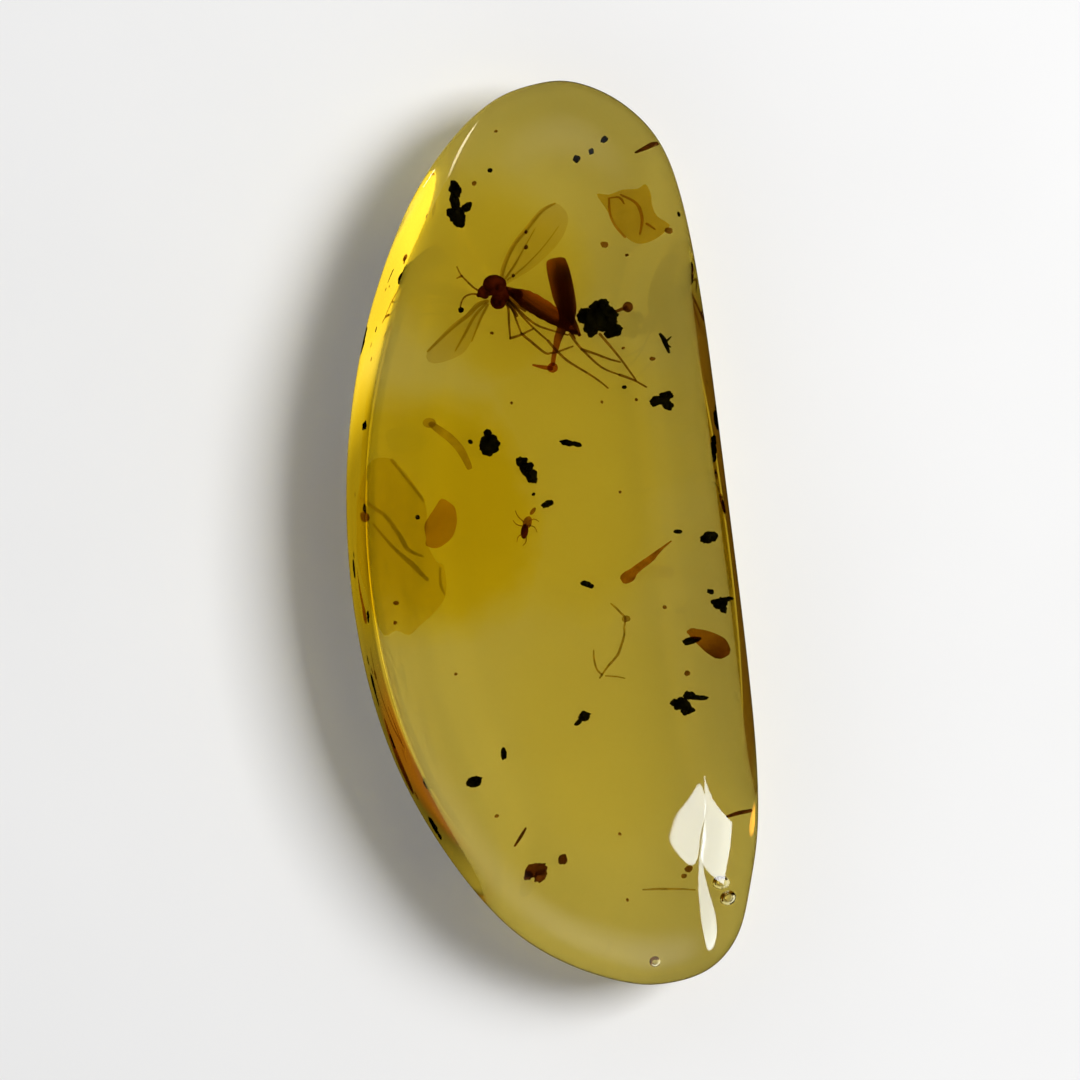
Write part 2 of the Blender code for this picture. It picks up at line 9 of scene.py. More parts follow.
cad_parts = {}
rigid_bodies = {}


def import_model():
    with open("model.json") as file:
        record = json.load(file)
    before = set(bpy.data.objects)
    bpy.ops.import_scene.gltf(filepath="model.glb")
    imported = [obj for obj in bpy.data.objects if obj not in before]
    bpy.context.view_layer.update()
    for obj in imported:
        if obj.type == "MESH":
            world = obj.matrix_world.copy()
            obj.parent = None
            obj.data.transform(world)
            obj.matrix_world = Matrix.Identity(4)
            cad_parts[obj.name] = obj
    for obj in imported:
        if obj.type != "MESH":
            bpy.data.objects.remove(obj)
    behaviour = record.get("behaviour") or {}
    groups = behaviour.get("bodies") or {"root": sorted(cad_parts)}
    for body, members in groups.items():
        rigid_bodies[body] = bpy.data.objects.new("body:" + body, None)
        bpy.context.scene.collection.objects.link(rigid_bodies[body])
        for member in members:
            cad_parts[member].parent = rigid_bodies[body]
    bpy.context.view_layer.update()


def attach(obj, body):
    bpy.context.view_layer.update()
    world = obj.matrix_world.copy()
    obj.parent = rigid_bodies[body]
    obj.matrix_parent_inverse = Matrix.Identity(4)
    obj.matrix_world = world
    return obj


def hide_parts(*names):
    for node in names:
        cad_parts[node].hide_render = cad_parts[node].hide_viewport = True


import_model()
MM = 0.001


# ---------------------------------------------------------------- amber drop
# One lump of fossil resin, sawn to a half moon and polished by hand: a flat underside,
# steep sides, a rounded shoulder and a gently domed crown. It is clear golden resin, a
# little deeper in colour round the flow that caught the gnat.
AMBER_OUTLINE = (
    (0.8, -13.40), (2.1, -13.64), (3.5, -13.38), (4.5, -12.45), (5.07, -10.9), (5.5, -9.2),
    (5.72, -6.8), (5.79, -3.5), (5.79, 0.0), (5.78, 3.5), (5.74, 6.4), (5.56, 9.3),
    (5.1, 11.4), (4.05, 12.8), (2.7, 13.58), (1.5, 13.64), (0.2, 13.29), (-1.2, 12.25),
    (-2.6, 10.6), (-3.85, 8.3), (-4.8, 5.8), (-5.5, 2.8), (-5.79, -0.6), (-5.6, -3.8),
    (-4.95, -6.6), (-3.8, -9.2), (-2.4, -11.3), (-0.9, -12.58),
)
OUTLINE_STEPS = 3
SPINE_MIDDLE = Vector((1.1, -0.1))
SPINE_REACH = Vector((-0.1, 7.3))
END_STRETCH = 0.35
KEEL_END_STRETCH = -0.6
LOW_SIDE = Vector((-0.89, 0.45))
LOW_STRETCH = 0.5
GIRDLE = 2.4
KEEL_WIDTH = 3.0
SHOULDER_WIDTH = 2.0
SHOULDER_RISE = 2.15
CROWN_SHARES = (0.25, 0.5, 0.75, 0.92)
LONG_SIDES = ((4, 12), (18, 26))
CROWN_RISE = 0.55
SECTION_STEPS = 9
AMBER_SMOOTHING = 2
AMBER_IOR = 1.54
AMBER_ROUGHNESS = 0.0
ABSORBED_PER_MM = (0.017, 0.046, 0.25)


class Value:
    """A socket of a material's nodes. Arithmetic with it adds Math nodes."""

    def __init__(self, tree, socket):
        self.tree = tree
        self.socket = socket

    def node(self, kind, inputs, output=0, **settings):
        """Any other node: its settings, then its sockets as values or links."""
        made = self.tree.nodes.new(kind)
        stops = settings.pop("stops", None)
        for setting, value in settings.items():
            setattr(made, setting, value)
        if stops:
            while len(made.color_ramp.elements) < len(stops):
                made.color_ramp.elements.new(1.0)
            for element, (place, color) in zip(made.color_ramp.elements, stops):
                element.position = place
                element.color = (*color, 1.0)
        for name, given in inputs.items():
            if isinstance(given, Value):
                self.tree.links.new(given.socket, made.inputs[name])
            else:
                made.inputs[name].default_value = given
        return Value(self.tree, made.outputs[output])

    def math(self, operation, *terms):
        return self.node("ShaderNodeMath", dict(enumerate(terms)), operation=operation)

    def __add__(self, other):
        return self.math("ADD", self, other)

    def __sub__(self, other):
        return self.math("SUBTRACT", self, other)

    def __rsub__(self, other):
        return self.math("SUBTRACT", other, self)

    def __mul__(self, other):
        return self.math("MULTIPLY", self, other)

    __radd__ = __add__
    __rmul__ = __mul__


def smooth_points(corners, steps, closed=True):
    """Points of a smooth curve through the corners, which are vectors of three numbers."""
    corners = [Vector(corner) for corner in corners]
    count = len(corners)
    points = []
    for number in range(count if closed else count - 1):
        places = [number + step for step in (-1, 0, 1, 2)]
        places = [place % count if closed else min(max(place, 0), count - 1) for place in places]
        before, start, end, after = (corners[place] for place in places)
        handles = (start + (end - before) / 6, end - (after - start) / 6)
        points += interpolate_bezier(start, *handles, end, steps + 1)[:-1]
    return points if closed else points + [corners[-1]]


def smooth_outline(corners, steps):
    """Points of a closed smooth curve through (x, y) corners."""
    return [point.to_2d() for point in smooth_points([(*corner, 0.0) for corner in corners], steps)]


def drop_ring(edge, inset, share, height, end_stretch):
    """Ring of the drop: drawn in by an inset and then by a share of what is left to the spine.

    How far along the spine a point lies eases towards -1 and 1 at its two ends.
    """
    ring = []
    for point in edge:
        along = (point - SPINE_MIDDLE).dot(SPINE_REACH) / SPINE_REACH.length_squared
        along /= (1.0 + along ** 4) ** 0.25
        inward = SPINE_MIDDLE + SPINE_REACH * along - point
        way = inward.normalized()
        stretch = 1.0 + end_stretch * way.y ** 2 + LOW_STRETCH * max(-way.dot(LOW_SIDE), 0.0) ** 2
        drawn = inset * stretch / inward.length
        drawn += (1.0 - drawn) * share
        crown = CROWN_RISE * (1.0 - (1.0 - drawn) ** 2) if height > GIRDLE else 0.0
        ring.append((*(point + inward * drawn), height + crown))
    return ring


def drop_rings(edge):
    """Rings of the drop, from the rim of its flat underside up the keel and over the crown."""
    quarter = [math.pi / 2 * step / SECTION_STEPS for step in range(SECTION_STEPS + 1)]
    rings = [drop_ring(edge, KEEL_WIDTH * (1.0 - math.cos(turn)), 0.0,
                       GIRDLE * (1.0 - math.sin(turn)), KEEL_END_STRETCH)
             for turn in reversed(quarter[1:])]
    rings += [drop_ring(edge, SHOULDER_WIDTH * (1.0 - math.cos(turn)), 0.0,
                        GIRDLE + SHOULDER_RISE * math.sin(turn), END_STRETCH)
              for turn in quarter]
    rings += [drop_ring(edge, SHOULDER_WIDTH, share, GIRDLE + SHOULDER_RISE, END_STRETCH)
              for share in CROWN_SHARES]
    return rings


def loft(rings, fill=True, bm=None):
    """Shape bridged from ring to ring of points in millimetres, closed at both ends by fill."""
    bm = bm or bmesh.new()
    loops = []
    for ring in rings:
        corners = [bm.verts.new(point) for point in ring]
        loops.append([bm.edges.new(pair) for pair in zip(corners, corners[1:] + corners[:1])])
    for lower, upper in zip(loops, loops[1:]):
        bmesh.ops.bridge_loops(bm, edges=lower + upper)
    if fill:
        bmesh.ops.contextual_create(bm, geom=loops[0])
        bmesh.ops.contextual_create(bm, geom=loops[-1])
    return bm, loops


def smooth_piece(name, bm, material, levels=0):
    """Smooth-shaded piece made of a finished bmesh, subdivided where levels says so."""
    bmesh.ops.recalc_face_normals(bm, faces=bm.faces)
    bmesh.ops.scale(bm, verts=bm.verts, vec=(MM, MM, MM))
    mesh = bpy.data.meshes.new(name)
    bm.to_mesh(mesh)
    bm.free()
    mesh.shade_smooth()
    mesh.materials.append(material)
    piece = bpy.data.objects.new(name, mesh)
    bpy.context.scene.collection.objects.link(piece)
    if levels:
        smoothing = piece.modifiers.new("smoothing", "SUBSURF")
        smoothing.levels = levels
        smoothing.render_levels = levels
    return piece


def new_finish(name, **plain):
    """Material, its shader and its Object coordinates in millimetres."""
    material = bpy.data.materials.new(name)
    material.use_nodes = True
    tree = material.node_tree
    shader = tree.nodes["Principled BSDF"]
    for socket, value in plain.items():
        shader.inputs[socket.replace("_", " ")].default_value = value
    here = Value(tree, tree.nodes.new("ShaderNodeTexCoord").outputs["Object"])
    here = here.node("ShaderNodeMapping", {"Vector": here, "Scale": (1 / MM,) * 3})
    return material, shader, here


def clear_resin(name, absorbed):
    """Clear resin: plain transmission and IOR, and one absorption colour and density."""
    material = new_finish(name, Base_Color=(1.0, 1.0, 1.0, 1.0), Roughness=AMBER_ROUGHNESS,
                          Transmission_Weight=1.0, IOR=AMBER_IOR)[0]
    tree = material.node_tree
    depth = tree.nodes.new("ShaderNodeVolumeAbsorption")
    strongest = max(absorbed)
    depth.inputs["Color"].default_value = (*[1.0 - share / strongest for share in absorbed], 1.0)
    depth.inputs["Density"].default_value = strongest / MM
    tree.links.new(depth.outputs["Volume"], tree.nodes["Material Output"].inputs["Volume"])
    return material


amber_edge = smooth_outline(AMBER_OUTLINE, OUTLINE_STEPS)
amber_bm, amber_loops = loft(drop_rings(amber_edge), fill=False)
for rim in (amber_loops[0], amber_loops[-1]):
    long_sides = [edge for start, end in LONG_SIDES
                  for edge in rim[start * (OUTLINE_STEPS + 1):end * (OUTLINE_STEPS + 1)]]
    bmesh.ops.grid_fill(amber_bm, edges=long_sides, use_interp_simple=True)
amber_finish = clear_resin("clear_amber", ABSORBED_PER_MM)
amber = smooth_piece("amber", amber_bm, amber_finish, AMBER_SMOOTHING)
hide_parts("amber_top", "amber_base")
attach(amber, "root")


# ---------------------------------------------------------------- gnat
# A dark-winged fungus gnat about 3 mm long, caught whole with wings and legs spread. Its
# cuticle is thin, dark red-brown and half clear, so light shows through the hind body
# and the legs; the wings are clear films stiffened by a thick vein along the front.
ROD_ENDS = ((0.5, 0.87), (0.87, 0.5))
KNOB_SIZE = 2.5
KNOB_NOISE = (0.7, 2.2, 4)
GNAT_LEVEL = 3.50
THORAX = ((-0.34, 7.70, 3.50, 0.68, 0.62, 0.60, 0), (-0.30, 7.23, 3.46, 0.46, 0.48, 0.46, 0),
          (-0.16, 7.48, 3.45, 0.40, 0.56, 0.44, 20), (-0.52, 7.56, 3.46, 0.30, 0.30, 0.34, 0))
THORAX_GRAIN = 0.05
HEAD = ((-0.69, 7.53, 3.50, 0.32, 0.34, 0.36, 0), (-0.82, 7.47, 3.46, 0.16, 0.14, 0.16, 20))
EYES = ((-0.66, 7.64, 3.52, 0.22, 0.18, 0.26, 0), (-0.66, 7.42, 3.52, 0.22, 0.18, 0.26, 0))
EYE_GRAIN = 0.02
HIND_BODY = (
    (0.20, 7.42, 0.15), (0.42, 7.26, 0.25), (0.66, 7.08, 0.29), (0.98, 6.82, 0.29),
    (1.30, 6.55, 0.25), (1.58, 6.28, 0.17), (1.82, 6.02, 0.07),
)
HIND_RINGS = 7
HIND_PINCH = 0.07
HIND_PINCH_POWER = 6
HIND_STEPS = 6
WAIST_LEVEL = 3.46
WAIST = ((-0.06, 7.50, 0.15), (0.10, 7.46, 0.13), (0.28, 7.34, 0.17))
CLASPER_LEVEL = 3.48
CLASPERS = (((1.72, 6.10, 0.06), (1.94, 5.94, 0.025)), ((1.66, 6.12, 0.05), (1.78, 5.86, 0.02)))
LEG_LEVEL = 3.35
LEGS = (
    ((-0.16, 7.20), (-0.04, 7.02), (-0.07, 6.56), (-0.09, 6.10)),
    ((-0.09, 6.10), (0.08, 6.13), (0.25, 6.17), (0.44, 6.24), (0.60, 6.29)),
    ((-0.12, 7.24), (0.08, 6.92), (0.16, 6.56), (0.25, 6.20)),
    ((0.25, 6.20), (0.56, 5.86), (0.87, 5.54), (1.03, 5.52), (1.21, 5.53), (1.68, 5.64)),
    ((-0.06, 7.28), (0.16, 7.00), (0.32, 6.74), (0.58, 6.37), (0.99, 5.89)),
    ((0.99, 5.89), (1.26, 5.49), (1.53, 5.18), (2.05, 4.76), (2.34, 4.50), (2.54, 4.28)),
    ((-0.06, 7.33), (0.22, 6.96), (0.47, 6.64), (0.78, 6.36), (1.19, 6.16), (1.58, 5.99)),
    ((1.64, 6.02), (1.78, 5.75), (1.98, 5.45), (2.44, 4.91), (2.92, 4.63)),
    ((2.92, 4.63), (3.14, 4.52), (3.36, 4.39), (3.64, 4.17)),
    ((1.92, 5.52), (2.33, 5.32), (2.66, 5.14), (2.99, 5.00)),
    ((2.50, 5.90), (2.80, 5.44), (3.07, 4.99), (3.38, 4.40)),
)
LEG_RADII = (0.042, 0.026)
COXA_LEVEL = 3.40
COXAE = (((0.00, 7.46), (0.22, 7.10), (0.44, 6.86)), ((-0.10, 7.34), (0.08, 6.98), (0.18, 6.74)))
COXA_RADII = (0.085, 0.045)
FEELERS = (
    ((-0.78, 7.56), (-0.96, 7.72), (-1.12, 7.94), (-1.22, 8.09), (-1.29, 8.33)),
    ((-1.19, 8.05), (-1.34, 8.00)),
    ((-0.80, 7.45), (-0.92, 7.50), (-1.07, 7.50), (-1.22, 7.44), (-1.33, 7.30), (-1.40, 7.11)),
)
FEELER_RADII = (0.034, 0.022)
FEELER_BEAD = 0.18
UPPER_WING_LEVEL = 3.58
UPPER_WING = (
    (-0.20, 7.80), (-0.01, 8.20), (0.31, 8.78), (0.82, 9.28), (1.29, 9.73), (1.70, 9.89),
    (1.97, 9.60), (1.97, 9.24), (1.65, 8.72), (0.93, 8.14), (0.24, 7.80), (-0.06, 7.68),
)
UPPER_VEINS = (
    ((-0.14, 7.80, 0.05), (-0.02, 8.20, 0.06), (0.31, 8.76, 0.06), (0.82, 9.28, 0.065),
     (1.29, 9.72, 0.055), (1.68, 9.88, 0.03)),
    ((-0.08, 7.80, 0.03), (0.28, 8.20, 0.03), (0.66, 8.72, 0.02), (1.00, 9.20, 0.012)),
    ((0.04, 7.82, 0.025), (0.52, 8.10, 0.02), (1.20, 8.66, 0.012), (1.70, 9.20, 0.008)),
)
LOWER_WING_LEVEL = 3.53
LOWER_WING = (
    (-0.52, 7.30), (-0.86, 7.22), (-1.66, 6.63), (-2.47, 5.97), (-2.36, 5.60),
    (-1.57, 5.79), (-1.22, 6.17), (-0.90, 6.70), (-0.60, 7.08),
)
LOWER_VEINS = (
    ((-0.62, 7.26, 0.05), (-0.90, 7.18, 0.07), (-1.24, 6.90, 0.06), (-1.70, 6.60, 0.055),
     (-2.46, 5.97, 0.03)),
    ((-0.66, 7.20, 0.03), (-1.04, 6.86, 0.04), (-1.40, 6.36, 0.035), (-1.72, 5.92, 0.02)),
    ((-0.62, 7.16, 0.03), (-0.86, 6.80, 0.035), (-1.08, 6.40, 0.025), (-1.22, 6.14, 0.02)),
)
WING_THICKNESS = 0.03
VEIN_LIFT = 0.03
THORAX_DARK = (0.010, 0.0010, 0.0006)
THORAX_RED = (0.095, 0.013, 0.003)
HIND_DARK = (0.022, 0.0030, 0.0008)
HIND_TINT = (0.84, 0.46, 0.20)
HIND_TURN = 0.70
HIND_ACROSS = (0.65, 0.76, 0.0)
HIND_SIDES = (5.58, 6.08)
HIND_SHARES = (1.0, 0.15)
HIND_STREAKS = (1.4, 0.40, 1.40, (0.3, 4.0, 1.0))
LEG_TINT = (0.76, 0.60, 0.40)
LEG_DARK = (0.05, 0.020, 0.002)
LEG_COVER = (2.5, 0.06, 0.36)
WING_TINT = (0.985, 0.950, 0.86)
WING_SOLID = (0.30, 0.22, 0.04)
WING_COVER = (1.2, 0.0, 0.03)
VEIN_TINT = (0.95, 0.86, 0.64)
VEIN_COVER = (2.0, 0.0, 0.06)
EVEN_CLOUD = (1.0, 1.0, 1.0)
CLOUD_DETAIL = 3.0
CLOUD_SPREAD = (0.3, 0.7)


def thinning(route, radii):
    """Route of (x, y) points with a radius that goes evenly from the first to the second."""
    last = len(route) - 1
    return [(x, y, radii[0] + (radii[1] - radii[0]) * step / last)
            for step, (x, y) in enumerate(route)]


def add_rod(bm, route, level, rise=0.0, sides=8, steps=4, beads=0.0, cap=1.0):
    """Rod through (x, y, radius) points; beads pinches every other ring, cap rounds the ends."""
    path = smooth_points(route, steps, closed=False)
    last = len(path) - 1
    stations = []
    for number, (x, y, radius) in enumerate(path):
        run = (path[min(number + 1, last)] - path[max(number - 1, 0)]).xy.normalized()
        pinch = 1.0 - beads * (number % 2)
        stations.append((Vector((x, y)), run, radius * pinch, level + rise * number / last))
    for end, side in ((0, -1), (-1, 1)):
        middle, run, radius, height = stations[end]
        caps = [(middle + run * side * radius * cap * away, run, radius * width, height)
                for away, width in ROD_ENDS]
        stations = caps[::-1] + stations if side < 0 else stations + caps
    rings = []
    for middle, run, radius, height in stations:
        ring = []
        for side in range(sides):
            turn = 2 * math.pi * side / sides
            across = Vector((-run.y, run.x)) * radius * math.cos(turn)
            ring.append((*(middle + across), height + radius * math.sin(turn)))
        rings.append(ring)
    loft(rings, bm=bm)


def add_lump(bm, place, grain=0.0, cuts=3):
    """Rounded lump given as (x, y, z, length, width, height, turn), made knobbly by grain."""
    x, y, z, length, width, height, turn = place
    corners = bmesh.ops.create_icosphere(bm, subdivisions=cuts, radius=0.5)["verts"]
    for corner in corners:
        knob = noise.fractal(corner.co * KNOB_SIZE + Vector((x, y, z)), *KNOB_NOISE)
        corner.co *= 1.0 + grain * knob
    shape = (
        Matrix.Translation(Vector((x, y, z)))
        @ Matrix.Rotation(math.radians(turn), 4, "Z")
        @ Matrix.Diagonal(Vector((length, width, height, 1.0)))
    )
    bmesh.ops.transform(bm, matrix=shape, verts=corners)


def add_sheet(bm, outline, level, thickness, steps=3, bevel=0.03):
    """Thin closed sheet inside an outline, its rim drawn to an edge."""
    edge = smooth_outline(outline, steps)
    middle = sum(edge, Vector((0.0, 0.0))) / len(edge)
    rings = [[(*point.lerp(middle, inset), level + side * thickness / 2) for point in edge]
             for inset, side in ((bevel, -1), (0.0, 0), (bevel, 1))]
    loft(rings, bm=bm)


def ramp(value, ends, shares, soft=False):
    """Value that goes from the first share to the second between the two ends."""
    return value.node("ShaderNodeMapRange", {
        "Value": value, "From Min": ends[0], "From Max": ends[1],
        "To Min": shares[0], "To Max": shares[1],
    }, interpolation_type="SMOOTHSTEP" if soft else "LINEAR")


def cloud(here, scale, low, high, stretch=EVEN_CLOUD):
    """Cloudy value between low and high over coordinates in millimetres."""
    place = here.node("ShaderNodeMapping", {"Vector": here, "Scale": stretch})
    grain = place.node("ShaderNodeTexNoise",
                       {"Vector": place, "Scale": scale, "Detail": CLOUD_DETAIL})
    return ramp(grain, CLOUD_SPREAD, (low, high))


def blend(share, first, second):
    """Colour that goes from the first to the second as share goes from 0 to 1."""
    first, second = (color if isinstance(color, Value) else (*color, 1.0)
                     for color in (first, second))
    return share.node("ShaderNodeMix", {0: share, 6: first, 7: second}, output=2,
                      data_type="RGBA")


def solid_finish(name, dark, light, scale, roughness):
    """Solid stuff, clouded from dark to light. The resin wets it, so it has no gloss."""
    material, shader, here = new_finish(name, Roughness=roughness, Specular_IOR_Level=0.0)
    color = blend(cloud(here, scale, 0.0, 1.0), dark, light)
    material.node_tree.links.new(color.socket, shader.inputs["Base Color"])
    return material


def stained_finish(name, tint, solid, cover, roughness=0.5):
    """Half clear stuff that tints light. cover, a cloud or a function, is its solid share."""
    material, shader, here = new_finish(name, Base_Color=(*solid, 1.0), Roughness=roughness,
                                        Specular_IOR_Level=0.0)
    tree = material.node_tree
    clear = tree.nodes.new("ShaderNodeBsdfTransparent")
    clear.inputs["Color"].default_value = (*tint, 1.0)
    both = tree.nodes.new("ShaderNodeMixShader")
    share = cover(here) if callable(cover) else cloud(here, *cover)
    tree.links.new(share.socket, both.inputs["Fac"])
    tree.links.new(clear.outputs["BSDF"], both.inputs[1])
    tree.links.new(shader.outputs["BSDF"], both.inputs[2])
    tree.links.new(both.outputs["Shader"], tree.nodes["Material Output"].inputs["Surface"])
    return material


def sealed(piece, slot, *nodes):
    """Put a piece in the frame: what it stands for and what it rides on. The slot is not used."""
    if nodes:
        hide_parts(*nodes)
    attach(piece, "root")
    return piece


thorax_bm = bmesh.new()
for lobe in (*THORAX, *HEAD):
    add_lump(thorax_bm, lobe, THORAX_GRAIN)
for eye in EYES:
    add_lump(thorax_bm, eye, EYE_GRAIN)
thorax_finish = solid_finish("thorax_cuticle", THORAX_DARK, THORAX_RED, scale=3.0, roughness=0.30)
sealed(smooth_piece("gnat_thorax", thorax_bm, thorax_finish), "gnat_cuticle", "gnat")


def hind_cover(here):
    """Nearly solid along the lower side, clearer above, in streaks that run with the body."""
    across = here.node("ShaderNodeVectorMath", {0: here, 1: HIND_ACROSS}, output=1,
                       operation="DOT_PRODUCT")
    turned = here.node("ShaderNodeMapping", {"Vector": here, "Rotation": (0.0, 0.0, HIND_TURN)})
    return ramp(across, HIND_SIDES, HIND_SHARES) * cloud(turned, *HIND_STREAKS)


hind_bm = bmesh.new()
hind_path = smooth_points(HIND_BODY, HIND_STEPS, closed=False)
hind_rings = []
for step, (x, y, radius) in enumerate(hind_path):
    turn = math.pi * HIND_RINGS * step / (len(hind_path) - 1)
    pinch = HIND_PINCH * abs(math.cos(turn)) ** HIND_PINCH_POWER
    hind_rings.append((x, y, radius * (1.0 - pinch)))
add_rod(hind_bm, hind_rings, GNAT_LEVEL, sides=20, steps=1)
add_rod(hind_bm, WAIST, WAIST_LEVEL, sides=12)
for clasper in CLASPERS:
    add_rod(hind_bm, clasper, CLASPER_LEVEL)
hind_finish = stained_finish("hind_cuticle", HIND_TINT, HIND_DARK, hind_cover, roughness=0.35)
sealed(smooth_piece("gnat_hind_body", hind_bm, hind_finish), "gnat_cuticle", "gnat")

legs_bm = bmesh.new()
for leg in LEGS:
    add_rod(legs_bm, thinning(leg, LEG_RADII), LEG_LEVEL)
for coxa in COXAE:
    add_rod(legs_bm, thinning(coxa, COXA_RADII), COXA_LEVEL)
for feeler in FEELERS:
    add_rod(legs_bm, thinning(feeler, FEELER_RADII), GNAT_LEVEL, beads=FEELER_BEAD)
leg_finish = stained_finish("leg_cuticle", LEG_TINT, LEG_DARK, LEG_COVER)
sealed(smooth_piece("gnat_legs_and_feelers", legs_bm, leg_finish), "gnat_cuticle", "gnat")

wings_bm = bmesh.new()
add_sheet(wings_bm, UPPER_WING, UPPER_WING_LEVEL, WING_THICKNESS)
add_sheet(wings_bm, LOWER_WING, LOWER_WING_LEVEL, WING_THICKNESS)
wing_finish = stained_finish("wing_film", WING_TINT, WING_SOLID, WING_COVER)
sealed(smooth_piece("gnat_wings", wings_bm, wing_finish), "gnat_cuticle", "gnat")

veins_bm = bmesh.new()
for vein in UPPER_VEINS:
    add_rod(veins_bm, vein, UPPER_WING_LEVEL + VEIN_LIFT)
for vein in LOWER_VEINS:
    add_rod(veins_bm, vein, LOWER_WING_LEVEL + VEIN_LIFT)
vein_finish = stained_finish("wing_veins", VEIN_TINT, LEG_DARK, VEIN_COVER)
sealed(smooth_piece("gnat_wing_veins", veins_bm, vein_finish), "gnat_cuticle", "gnat")


# ---------------------------------------------------------------- splinter
# A thick splinter of dark red wood under the hind body of the gnat. It thins to a stalk
# that ends in a knob with a faint tail. Thin edges let light through, the core doesn't.
SPLINTER_LEVEL = 2.85
SPLINTER = (
    (1.50, 8.22, 0.28), (1.52, 7.98, 0.32), (1.56, 7.60, 0.33), (1.60, 7.15, 0.32),
    (1.64, 6.80, 0.28), (1.60, 6.50, 0.23), (1.42, 6.20, 0.15), (1.28, 5.92, 0.11),
    (1.17, 5.60, 0.08), (1.09, 5.37, 0.07), (1.04, 5.16, 0.07),
)
SPLINTER_CAP = 0.35
SPLINTER_SPUR = ((1.62, 6.70, 0.12), (1.80, 6.30, 0.09), (1.90, 5.96, 0.05))
SPLINTER_KNOB = (1.03, 5.09, 2.85, 0.32, 0.30, 0.30, 0)
SPLINTER_TAIL = ((0.98, 5.08, 0.07), (0.76, 5.14, 0.06), (0.48, 5.24, 0.03))
SPLINTER_AXIS_X = 1.63
SPLINTER_SIDES = ((0.12, 0.34), (0.90, 0.35))
SPLINTER_TOP = ((7.75, 8.30), (1.0, 0.35))
SPLINTER_STALK = ((5.3, 6.35), (0.30, 1.0))
SPLINTER_GRAIN = (2.2, 0.8, 1.1, (1.0, 0.3, 1.0))
WOOD_TINT = (0.80, 0.46, 0.22)
WOOD_DARK = (0.016, 0.0020, 0.0006)


def splinter_cover(here):
    """Solid along the core and clearer at the sides, the top end and down the stalk."""
    x, y = (here.node("ShaderNodeSeparateXYZ", {"Vector": here}, output=side) for side in (0, 1))
    aside = x - SPLINTER_AXIS_X
    off = aside.math("ABSOLUTE", aside)
    return (ramp(off, *SPLINTER_SIDES) * ramp(y, *SPLINTER_TOP) * ramp(y, *SPLINTER_STALK)
            * cloud(here, *SPLINTER_GRAIN))


splinter_bm = bmesh.new()
add_rod(splinter_bm, SPLINTER, SPLINTER_LEVEL, sides=16, cap=SPLINTER_CAP)
add_rod(splinter_bm, SPLINTER_SPUR, SPLINTER_LEVEL)
add_rod(splinter_bm, SPLINTER_TAIL, SPLINTER_LEVEL)
add_lump(splinter_bm, SPLINTER_KNOB, grain=0.06)
wood_finish = stained_finish("red_wood", WOOD_TINT, WOOD_DARK, splinter_cover)
sealed(smooth_piece("wood_splinter", splinter_bm, wood_finish), "red_wood", "splinter")


# ---------------------------------------------------------------- stalked spore and club
# Small plant bodies the colour of old varnish: a round spore on a short stalk beside the
# black clump, and a club-shaped splinter that thins out to a hair.
SPORE = (3.38, 6.61, 2.90, 0.30, 0.32, 0.28, 0)
SPORE_STALK = ((3.34, 6.60, 0.06), (3.20, 6.57, 0.05), (3.04, 6.52, 0.05))
SPORE_LEVEL = 2.90
SPORE_TINT = (0.76, 0.52, 0.34)
SPORE_DARK = (0.07, 0.016, 0.003)
SPORE_COVER = (5.0, 0.15, 0.60)
CLUB_LEVEL = 2.70
CLUB_RISE = 0.15
CLUB = (
    (2.38, -1.40, 0.17), (2.50, -1.34, 0.18), (2.62, -1.24, 0.13), (2.78, -1.13, 0.115),
    (3.16, -0.91, 0.10), (3.34, -0.77, 0.07), (3.52, -0.64, 0.04), (3.76, -0.47, 0.02),
)
CLUB_TINT = (0.90, 0.62, 0.20)
CLUB_DARK = (0.16, 0.045, 0.002)
CLUB_COVER = (2.5, 0.0, 0.50)

spore_bm = bmesh.new()
add_lump(spore_bm, SPORE, grain=0.05)
add_rod(spore_bm, SPORE_STALK, SPORE_LEVEL)
spore_finish = stained_finish("spore_skin", SPORE_TINT, SPORE_DARK, SPORE_COVER)
sealed(smooth_piece("spore_on_stalk", spore_bm, spore_finish), "red_wood", "stalked_spore")

club_bm = bmesh.new()
add_rod(club_bm, CLUB, CLUB_LEVEL, CLUB_RISE, sides=12)
club_finish = stained_finish("club_wood", CLUB_TINT, CLUB_DARK, CLUB_COVER)
sealed(smooth_piece("wood_club", club_bm, club_finish), "orange_resin", "club_splinter")


# ---------------------------------------------------------------- flakes and membrane
# Flakes of older resin, one folded and honey-coloured, one orange, and a large pale leaf
# membrane that lies along the curved side with soft folds running down it.
RESIN_FLAKE_LEVEL = 2.55
RESIN_FLAKE = (
    (2.90, 10.02), (3.22, 9.96), (3.53, 10.02), (3.80, 9.98), (3.97, 10.08), (4.06, 9.80),
    (4.06, 9.50), (4.15, 9.15), (4.38, 8.92), (4.42, 8.80), (4.10, 8.52), (3.80, 8.42),
    (3.60, 8.60), (3.40, 8.90), (3.26, 9.20), (3.08, 9.62),
)
RESIN_CREASES = (
    ((3.22, 9.82, 0.03), (3.20, 9.40, 0.035), (3.30, 9.05, 0.035), (3.52, 8.68, 0.03)),
    ((3.50, 9.90, 0.02), (3.78, 9.58, 0.03), (3.86, 9.14, 0.03), (3.80, 8.70, 0.02)),
    ((3.20, 9.86, 0.02), (3.46, 9.84, 0.025), (3.56, 9.64, 0.015)),
    ((3.94, 8.98, 0.03), (4.10, 8.78, 0.02)),
)
CREASE_LIFT = 0.07
RESIN_THICKNESS = 0.10
RESIN_TINT = (0.97, 0.88, 0.45)
RESIN_SOLID = (0.45, 0.24, 0.01)
